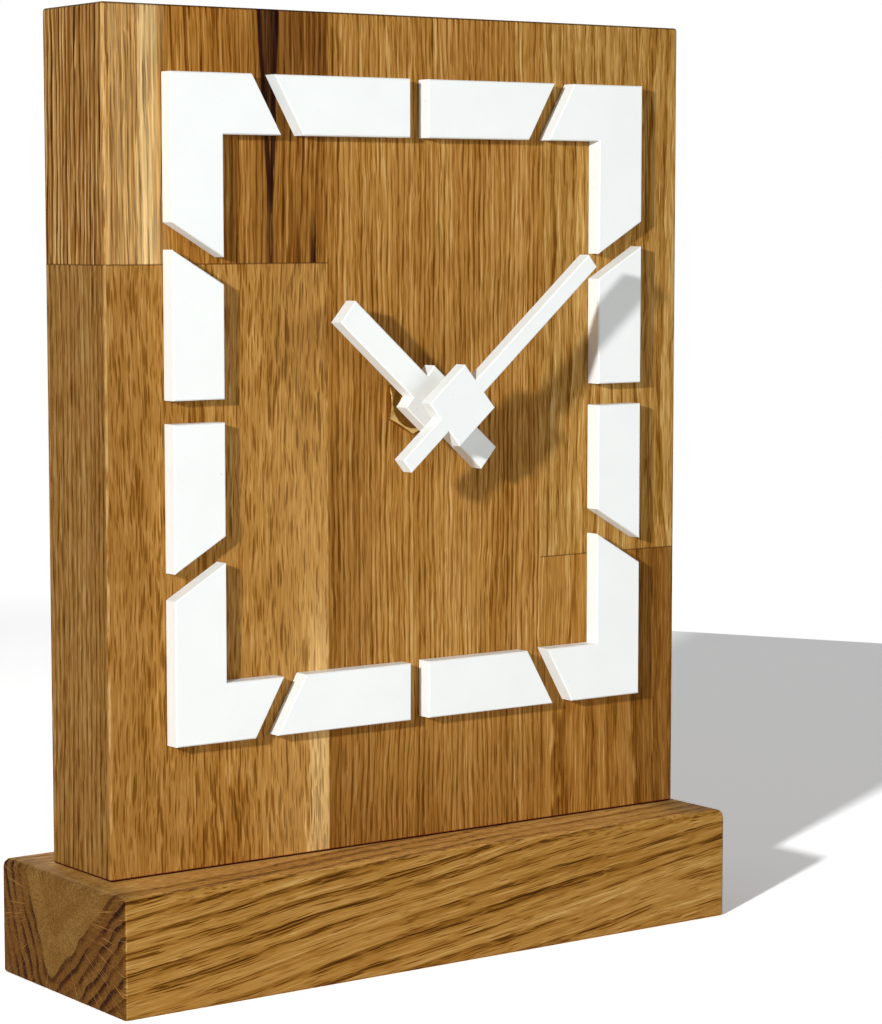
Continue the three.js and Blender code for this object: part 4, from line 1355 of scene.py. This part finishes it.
@dataclass
class Mould:
    """Cuts small raised marks, which are drawn flat about the origin and stood on a face.

    Attributes:
        edge: The width of a mark's eased edge.
        foot: How deep a mark's foot is sunk into its face.
        arc: How many degrees of a band one face spans.
    """

    edge: float = 0.1
    foot: float = 0.2
    arc: float = 8.0

    def stand(self, mesh: Mesh, centre: Vector, height: float) -> Mesh:
        """Stand a flat shape on a face that looks backwards and raise it to a closed solid.

        Args:
            mesh: The flat shape, in millimetres.
            centre: Where its middle goes, in millimetres.
            height: How far it stands proud, in millimetres.

        Returns:
            The same mesh, in metres.
        """
        turn = Matrix(((1.0, 0.0, 0.0), (0.0, 0.0, -1.0), (0.0, 1.0, 0.0))).to_4x4()
        place = Matrix.Scale(MM, 4) @ Matrix.Translation(centre) @ turn
        bmesh.ops.transform(mesh, matrix=place, verts=mesh.verts)
        face = max(v.co.y for v in mesh.verts)
        top = corners(bmesh.ops.extrude_face_region(mesh, geom=list(mesh.faces)))
        bmesh.ops.translate(mesh, verts=top, vec=Vector((0.0, height * MM, 0.0)))
        rim = [e for e in mesh.edges if e.is_boundary]
        below = corners(bmesh.ops.extrude_edge_only(mesh, edges=rim))
        bmesh.ops.translate(mesh, verts=below, vec=Vector((0.0, -self.foot * MM, 0.0)))
        middle = face + 0.5 * height * MM
        crisp = [
            e
            for e in mesh.edges
            if e.is_manifold and e.calc_face_angle() > 0.5 and min(v.co.y for v in e.verts) > middle
        ]
        ease(mesh, crisp, self.edge * MM)
        bmesh.ops.recalc_face_normals(mesh, faces=mesh.faces)
        return mesh

    def frame(self, size: Pair, corner: float, width: float) -> Mesh:
        """Draw a frame with rounded corners.

        Args:
            size: Its outside width and height.
            corner: The radius of its corners.
            width: The width of its bar.

        Returns:
            The flat frame.
        """
        mesh = bmesh.new()
        bmesh.ops.create_grid(mesh, x_segments=1, y_segments=1, size=0.5)
        bmesh.ops.scale(mesh, vec=Vector((*size, 1.0)), verts=mesh.verts)
        ease(mesh, list(mesh.verts), corner, 5, "VERTICES")
        inner = list(mesh.faces)
        bmesh.ops.inset_region(
            mesh, faces=inner, thickness=width, use_boundary=True, use_even_offset=True
        )
        bmesh.ops.delete(mesh, geom=inner, context="FACES")
        return mesh

    def cross(self, size: float, width: float, upright: bool) -> Mesh:
        """Draw a plus sign, or a minus sign.

        Args:
            size: The length of its bars.
            width: Their width.
            upright: Whether it has an upright bar too.

        Returns:
            The flat sign.
        """
        mesh = bmesh.new()
        bmesh.ops.create_grid(mesh, x_segments=3, y_segments=3, size=1.0)
        for vert in mesh.verts:
            for axis in (0, 1):
                reach = size if abs(vert.co[axis]) > 0.5 else width
                vert.co[axis] = math.copysign(reach / 2, vert.co[axis])
        middles = {face: face.calc_center_median() for face in mesh.faces}
        spare = [
            face
            for face, middle in middles.items()
            if abs(middle.y) > width / 2 and (not upright or abs(middle.x) > width / 2)
        ]
        bmesh.ops.delete(mesh, geom=spare, context="FACES")
        return mesh

    def band(self, radius: float, width: float, start: float, sweep: float) -> Mesh:
        """Draw a band along a circle.

        Args:
            radius: The radius of its middle line.
            width: The band's width.
            start: Where it starts, in degrees from the X axis.
            sweep: How far it goes round, in degrees.

        Returns:
            The flat band.
        """
        mesh = bmesh.new()
        ends = [mesh.verts.new((radius + side * width / 2, 0.0, 0.0)) for side in (-1, 1)]
        bmesh.ops.spin(
            mesh,
            geom=[*ends, mesh.edges.new(ends)],
            cent=Vector(),
            axis=Vector((0.0, 0.0, 1.0)),
            angle=math.radians(sweep),
            steps=max(6, round(sweep / self.arc)),
            use_merge=sweep == FULL_TURN,
        )
        turn = Matrix.Rotation(math.radians(start), 3, "Z")
        bmesh.ops.rotate(mesh, cent=Vector(), matrix=turn, verts=mesh.verts)
        return mesh

    def tip(self, radius: float, size: float, angle: float) -> Mesh:
        """Draw an arrow tip that points anticlockwise along a circle.

        Args:
            radius: The circle's radius.
            size: The tip's own radius.
            angle: Where it is on the circle, in degrees.

        Returns:
            The flat tip.
        """
        mesh = bmesh.new()
        bmesh.ops.create_circle(mesh, cap_ends=True, segments=3, radius=size)
        bmesh.ops.translate(mesh, verts=mesh.verts, vec=Vector((radius, 0.0, 0.0)))
        turn = Matrix.Rotation(math.radians(angle), 3, "Z")
        bmesh.ops.rotate(mesh, cent=Vector(), matrix=turn, verts=mesh.verts)
        return mesh


@dataclass
class WoodScrew:
    """A screw with a hexagonal socket, driven up through the base.

    Attributes:
        head: The head's radius.
        head_height: Its height.
        head_ease: The width and height of its bevelled rim.
        socket: The radius of the socket's corners.
        socket_depth: The socket's depth.
        shank: The shank's radius.
        tip: The length of the tapered tip.
        tip_share: The tip's radius beside the shank's.
    """

    head: float = 3.9
    head_height: float = 2.6
    head_ease: float = 0.4
    socket: float = 2.3
    socket_depth: float = 1.9
    shank: float = 2.0
    tip: float = 4.0
    tip_share: float = 0.08

    def drawn_out(self, mesh: Mesh, rim: list[Edge], share: float, rise: float) -> list[Edge]:
        """Extrude an open rim, scale it about its middle and lift it.

        Args:
            mesh: The mesh that the rim belongs to, drawn about the Z axis in millimetres.
            rim: The rim's edges.
            share: What the new rim is scaled by.
            rise: How far it is lifted.

        Returns:
            The new rim's edges.
        """
        made = bmesh.ops.extrude_edge_only(mesh, edges=rim)
        points = corners(made)
        bmesh.ops.scale(mesh, vec=Vector((share, share, 1.0)), verts=points)
        bmesh.ops.translate(mesh, vec=Vector((0.0, 0.0, rise)), verts=points)
        return [item for item in made["geom"] if isinstance(item, bmesh.types.BMEdge)]

    def build(self, node: str) -> Mesh:
        """Build the screw in the place of a packed one.

        Args:
            node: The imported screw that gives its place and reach.

        Returns:
            The screw, in metres.
        """
        low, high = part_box(node)
        reach = (high.z - low.z) / MM
        face = self.head - self.head_ease
        mesh = bmesh.new()
        outer = bmesh.ops.create_circle(mesh, segments=24, radius=face)["verts"]
        outer_rim = list({e for v in outer for e in v.link_edges})
        socket = bmesh.ops.create_circle(mesh, segments=6, radius=self.socket)["verts"]
        sides = list({e for v in socket for e in v.link_edges})
        bmesh.ops.subdivide_edges(mesh, edges=sides, cuts=3)
        socket_rim = [e for e in mesh.edges if e not in outer_rim]
        bmesh.ops.bridge_loops(mesh, edges=[*outer_rim, *socket_rim])
        floor = self.drawn_out(mesh, socket_rim, 1.0, self.socket_depth)
        bmesh.ops.edgeloop_fill(mesh, edges=floor)
        rim = outer_rim
        for share, rise in (
            (self.head / face, self.head_ease),
            (1.0, self.head_height - self.head_ease),
            (self.shank / self.head, 0.0),
            (1.0, reach - self.head_height - self.tip),
            (self.tip_share, self.tip),
        ):
            rim = self.drawn_out(mesh, rim, share, rise)
        bmesh.ops.edgeloop_fill(mesh, edges=rim)
        bmesh.ops.recalc_face_normals(mesh, faces=mesh.faces)
        centre = Vector(((low.x + high.x) / 2, (low.y + high.y) / 2, low.z))
        place = Matrix.Translation(centre) @ Matrix.Scale(MM, 4)
        bmesh.ops.transform(mesh, matrix=place, verts=mesh.verts)
        return mesh


@dataclass
class Movement:
    """The quartz movement in the back pocket, and the screws and dowels of the case.

    Attributes:
        cover: The left, right, low and high edges of the cover round the marks.
        cover_back: The y of the cover's back.
        knob: The x and z of the setting knob's axis.
        knob_back: The y of the knob's back.
        cover_relief: How far the cover's marks stand proud.
        knob_relief: How far the knob's marks stand proud.
        rib_inset: How far the rib lies inside the cover's edges.
        sign_inset: How far the cell's signs lie in from the cover's edges, sideways and up.
        clip_inset: How far the clips lie in from the cover's sides.
        clip_heights: The z of the clips.
        pins: The x and z of the ejector pins' marks.
        rib: The rib's corner radius and width.
        ring: The radius and width of the ring round the knob.
        arrow: The setting arrow's radius, width, start and sweep in degrees.
        arrow_tip: Its tip's radius, size and angle.
        sign: The length and width of the bars of the cell's signs.
        pin: The radius and width of a pin's mark.
        clip: A clip's size, corner radius and width.
        knob_ring: The radius and width of the ring on the knob.
        knob_arrow: The radius, width, start and sweep of the arrow on the knob.
        knob_tip: Its tip's radius, size and angle.
    """

    shell: PlasticFinish = PlasticFinish("black_moulding", (0.028, 0.028, 0.03), 0.5, texture=0.03)
    board: PlasticFinish = PlasticFinish("solder_mask", (0.03, 0.16, 0.06), 0.35)
    bobbin: PlasticFinish = PlasticFinish("bobbin_plastic", (0.85, 0.85, 0.82), 0.4)
    rubber: PlasticFinish = PlasticFinish("gasket_rubber", (0.02, 0.02, 0.02), 0.8, texture=0.04)
    beech: PlasticFinish = PlasticFinish("turned_beech", linear(217, 184, 138), 0.6, texture=0.03)
    steel: MetalFinish = MetalFinish("satin_steel", (0.62, 0.63, 0.65), 0.36)
    nickel: MetalFinish = MetalFinish("nickel_plate", (0.74, 0.73, 0.70), 0.24)
    magnet: MetalFinish = MetalFinish("ground_magnet", (0.22, 0.22, 0.24), 0.42)
    wire: MetalFinish = MetalFinish(
        "enamelled_wire", (0.72, 0.32, 0.14), 0.3, scratch=(0.09, 4.0, 4.0), depth=0.03
    )
    sleeve: Colour = linear(44, 60, 52)
    stripe: Colour = linear(176, 182, 184)
    sleeve_insets: Pair = (0.5, 1.9)
    stripe_width: float = 13.0
    cover: Four = (-25.8, 28.8, 124.6, 162.9)
    cover_back: float = 10.5
    knob: Pair = (-13.555, 144.295)
    knob_back: float = 13.8
    cover_relief: float = 0.35
    knob_relief: float = 0.3
    rib_inset: float = 2.2
    sign_inset: Pair = (6.0, 5.0)
    clip_inset: float = 1.1
    clip_heights: Pair = (131.0, 152.0)
    pins: tuple[Pair, ...] = ((20.0, 155.0), (20.0, 140.0), (3.0, 131.5), (3.0, 155.0))
    rib: Pair = (2.4, 0.8)
    ring: Pair = (6.7, 0.8)
    arrow: Four = (8.7, 0.6, -50.0, 92.0)
    arrow_tip: Triple = (8.7, 1.3, 44.0)
    sign: Pair = (3.0, 0.7)
    pin: Pair = (1.5, 0.2)
    clip: tuple[Pair, float, float] = ((1.3, 6.0), 0.3, 0.45)
    knob_ring: Pair = (4.1, 0.7)
    knob_arrow: Four = (2.3, 0.5, -60.0, 240.0)
    knob_tip: Triple = (2.3, 0.8, 182.0)

    def cover_marks(self, mould: Mould) -> dict[str, tuple[Mesh, Pair]]:
        """Draw the cover's rib, clips, pin marks, cell signs and the ring and arrow of the knob.

        Args:
            mould: What draws them.

        Returns:
            Each mark's flat shape and the x and z of its middle, by name.
        """
        left, right, low, high = self.cover
        inside = (right - left - 2 * self.rib_inset, high - low - 2 * self.rib_inset)
        aside, up = self.sign_inset
        marks = {
            "cover_rib": (mould.frame(inside, *self.rib), ((left + right) / 2, (low + high) / 2)),
            "knob_ring": (mould.band(*self.ring, 0.0, FULL_TURN), self.knob),
            "setting_arrow": (mould.band(*self.arrow), self.knob),
            "setting_arrow_tip": (mould.tip(*self.arrow_tip), self.knob),
            "plus_sign": (mould.cross(*self.sign, True), (right - aside, low + up)),
            "minus_sign": (mould.cross(*self.sign, False), (left + aside, low + up)),
        }
        for i, place in enumerate(self.pins):
            marks[f"pin_mark_{i}"] = (mould.band(*self.pin, 0.0, FULL_TURN), place)
        for i, x in enumerate((left + self.clip_inset, right - self.clip_inset)):
            for j, z in enumerate(self.clip_heights):
                marks[f"clip_{i}_{j}"] = (mould.frame(*self.clip), (x, z))
        return marks

    def raise_marks(self, dresser: Dresser) -> None:
        """Raise the marks on the cover and on the knob.

        Args:
            dresser: What makes the pieces.
        """
        mould = Mould()
        for name, (flat, (x, z)) in self.cover_marks(mould).items():
            solid = mould.stand(flat, Vector((x, self.cover_back, z)), self.cover_relief)
            dresser.add_piece(
                name, solid, dresser.bodies["case_back"], self.shell
            )
        x, z = self.knob
        for name, flat in (
            ("knob_rim", mould.band(*self.knob_ring, 0.0, FULL_TURN)),
            ("knob_arrow", mould.band(*self.knob_arrow)),
            ("knob_arrow_tip", mould.tip(*self.knob_tip)),
        ):
            solid = mould.stand(flat, Vector((x, self.knob_back, z)), self.knob_relief)
            dresser.add_piece(
                name, solid, dresser.bodies["setting_knob"], NATURAL_PLASTIC
            )

    def cell(self) -> CellFinish:
        """Fit the cell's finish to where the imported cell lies.

        Returns:
            The cell's finish.
        """
        low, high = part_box("battery")
        left, right = low.x / MM, high.x / MM
        ends = (left + self.sleeve_insets[0], right - self.sleeve_insets[1])
        return CellFinish("cell_sleeve", self.sleeve, self.stripe, ends, right - self.stripe_width)

    def build(self, dresser: Dresser) -> None:
        """Dress the movement's pieces, the screws and the dowels.

        Args:
            dresser: What dresses them.
        """
        self.raise_marks(dresser)
        screw = WoodScrew()
        for node in ("body_screw_left", "body_screw_right"):
            dresser.stand_in(f"{node}_cut", screw.build(node), node, self.steel)
        plan: tuple[tuple[Finish, str], ...] = (
            (self.shell, "case_front case_back"),
            (NATURAL_PLASTIC, "gear_bridge transfer_wheel drive_wheel"),
            (NATURAL_PLASTIC, "third_wheel seconds_wheel step_wheel setting_knob"),
            (self.board, "circuit_board"),
            (self.bobbin, "coil_bobbin"),
            (self.rubber, "gasket"),
            (self.steel, "stator coil_core"),
            (self.nickel, "quartz_crystal contact_negative contact_positive"),
            (self.magnet, "rotor"),
            (self.wire, "coil_winding"),
            (self.beech, "dowel_left dowel_right"),
            (self.cell(), "battery"),
        )
        for finish, nodes in plan:
            for node in nodes.split():
                dresser.smooth_copy(node, finish)


@dataclass
class Studio:
    """The camera, the lamps, the white surroundings and the floor.

    Attributes:
        eye: Where the camera stands, in metres.
        yaw: How far it is turned to the right, in radians.
        pitch: How far it looks down, in radians.
        roll: How far it is tipped, in radians.
        lens: Its focal length, for a sensor of the width below.
        sensor: The sensor's width.
        shift: The lens shift.
        clip: The nearest and farthest distance that it sees, in metres.
        key_place: Where the key lamp stands, in metres.
        key_aim: Where it shines, in metres.
        key_power: Its power.
        key_size: Its diameter, in metres.
        fills: Where each fill light comes from, and its strength.
        fill_angle: The fill lights' spread, in degrees.
        ambient: The even light from all round.
        floor_albedo: The floor's brightness as the light finds it.
        floor_gain: The floor's brightness as the camera finds it.
        floor_radius: The floor's radius, in metres.
        floor_fade: The distances over which it turns to plain white, in metres.
        floor_edge: Two points on the straight edge where it ends, in metres.
    """

    eye: Vector = field(default_factory=lambda: Vector((-422.7, -592.0, 176.7)) * MM)
    yaw: float = 0.60859
    pitch: float = 0.09951
    roll: float = -0.00331
    lens: float = 104.36
    sensor: float = 36.0
    shift: Pair = (0.0963, 0.0153)
    clip: Pair = (0.01, 50.0)
    key_place: Vector = field(default_factory=lambda: Vector((-644.0, -391.0, 305.0)) * MM)
    key_aim: Vector = field(default_factory=lambda: Vector((1.5, -11.8, 120.0)) * MM)
    key_power: float = 9.7
    key_size: float = 0.04
    fills: tuple[tuple[Triple, float], ...] = (
        ((0.3, -0.95, 0.03), 1.15),
        ((0.2, 0.97, 0.03), 1.6),
    )
    fill_angle: float = 40.0
    ambient: float = 0.16
    floor_albedo: float = 0.8
    floor_gain: float = 2.05
    floor_radius: float = 6.0
    floor_fade: Pair = (0.6, 0.76)
    floor_edge: tuple[Vector, Vector] = field(
        default_factory=lambda: (
            Vector((442.0, 396.0, 0.0)) * MM,
            Vector((488.0, 312.6, 0.0)) * MM,
        )
    )

    def camera(self) -> None:
        """Place the camera where the photograph was taken from."""
        data = bpy.data.cameras.new("camera")
        data.lens, data.sensor_width = self.lens, self.sensor
        data.shift_x, data.shift_y = self.shift
        data.clip_start, data.clip_end = self.clip
        camera = linked("camera", data)
        level = math.cos(self.pitch)
        forward = Vector(
            (math.sin(self.yaw) * level, math.cos(self.yaw) * level, -math.sin(self.pitch))
        )
        right = Vector((math.cos(self.yaw), -math.sin(self.yaw), 0.0))
        up = right.cross(forward)
        turned_right = right * math.cos(self.roll) + up * math.sin(self.roll)
        turned_up = up * math.cos(self.roll) - right * math.sin(self.roll)
        basis = Matrix((turned_right, turned_up, -forward)).transposed()
        camera.matrix_world = Matrix.Translation(self.eye) @ basis.to_4x4()
        bpy.context.scene.camera = camera

    def lamp(self, data: bpy.types.Light, place: Vector, source: Vector) -> None:
        """Put a lamp in its place.

        Args:
            data: The lamp's light.
            place: Where it stands, in metres.
            source: The direction that its light comes from.
        """
        lamp = linked(data.name, data)
        lamp.location = place
        lamp.rotation_mode = "QUATERNION"
        lamp.rotation_quaternion = source.to_track_quat("Z", "Y")
        lamp.visible_camera = False

    def key(self) -> None:
        """Add the round lamp near the clock, which throws its shadow."""
        data = bpy.data.lights.new("key_lamp", "AREA")
        data.shape, data.size, data.energy = "DISK", self.key_size, self.key_power
        data.use_nodes = True
        graph = Graph(data.node_tree)
        even = graph.add("LightFalloff", 1.0).outputs["Constant"]
        glow = graph.add("Emission", named={"Strength": even})
        graph.add("OutputLight", glow.outputs[0])
        self.lamp(data, self.key_place, self.key_place - self.key_aim)

    def fill(self) -> None:
        """Add the broad, distant lights from the front and from behind."""
        for source, power in self.fills:
            data = bpy.data.lights.new("fill_lamp", "SUN")
            data.energy, data.angle = power, math.radians(self.fill_angle)
            self.lamp(data, Vector((0.0, 0.0, 1.0)), Vector(source))

    def seen(self, graph: Graph) -> Socket:
        """Tell what is seen from what is only lit.

        Args:
            graph: The tree that asks.

        Returns:
            1 for rays from the camera, a reflection or a clear piece, and 0 for light.
        """
        path = graph.add("LightPath").outputs
        seen = graph.math("MAXIMUM", path["Is Camera Ray"], path["Is Glossy Ray"])
        return graph.math("MAXIMUM", seen, path["Is Transmission Ray"])

    def world(self) -> None:
        """Light the clock evenly, with white wherever the camera or a reflection sees past it."""
        world = bpy.data.worlds.new("surroundings")
        world.use_nodes = True
        graph = Graph(world.node_tree)
        level = graph.math("MULTIPLY_ADD", self.seen(graph), 1.0 - self.ambient, self.ambient)
        background = graph.add("Background", grey(1.0), level)
        graph.add("OutputWorld", background.outputs[0])
        bpy.context.scene.world = world

    def white_floor(self) -> bpy.types.Material:
        """Build the floor's white, which keeps the clock's shadow and fades to plain white.

        Returns:
            The finished material.
        """
        material = bpy.data.materials.new("white_floor")
        material.use_nodes = True
        graph = Graph(material.node_tree)
        seen = self.seen(graph)
        gain = self.floor_gain - self.floor_albedo
        diffuse = graph.add(
            "BsdfDiffuse", graph.math("MULTIPLY_ADD", seen, gain, self.floor_albedo)
        )
        distance = graph.vector("LENGTH", graph.add("TexCoord").outputs["Object"])
        share = graph.math("MULTIPLY", graph.band(distance, *self.floor_fade), seen)
        white = graph.add("Emission", grey(1.0), 1.0)
        mixed = graph.add("MixShader", share, diffuse.outputs[0], white.outputs[0])
        graph.add("OutputMaterial", mixed.outputs[0])
        return material

    def floor(self) -> None:
        """Lay a wide floor that ends along a straight line behind the clock."""
        mesh = bmesh.new()
        bmesh.ops.create_circle(mesh, cap_ends=True, segments=96, radius=self.floor_radius)
        near, far = self.floor_edge
        across = Vector((far.y - near.y, near.x - far.x, 0.0))
        bmesh.ops.bisect_plane(
            mesh,
            geom=[*mesh.verts, *mesh.edges, *mesh.faces],
            plane_co=near,
            plane_no=across,
            clear_outer=across.dot(near) > 0,
            clear_inner=across.dot(near) <= 0,
        )
        data = bpy.data.meshes.new("floor")
        mesh.to_mesh(data)
        mesh.free()
        data.materials.append(self.white_floor())
        linked("floor", data)

    def build(self) -> None:
        """Set up everything round the clock."""
        for step in (self.camera, self.key, self.fill, self.world, self.floor):
            step()
        bpy.context.scene.view_settings.view_transform = "Standard"
        LOG.info("studio ready")


def main() -> None:
    """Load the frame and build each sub-assembly."""
    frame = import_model()
    Studio().build()
    dresser = Dresser(frame)
    for assembly in (OakBlock(), OakBase(), Dial(), ShaftHardware(), Movement()):
        assembly.build(dresser)


if __name__ == "__main__":
    main()
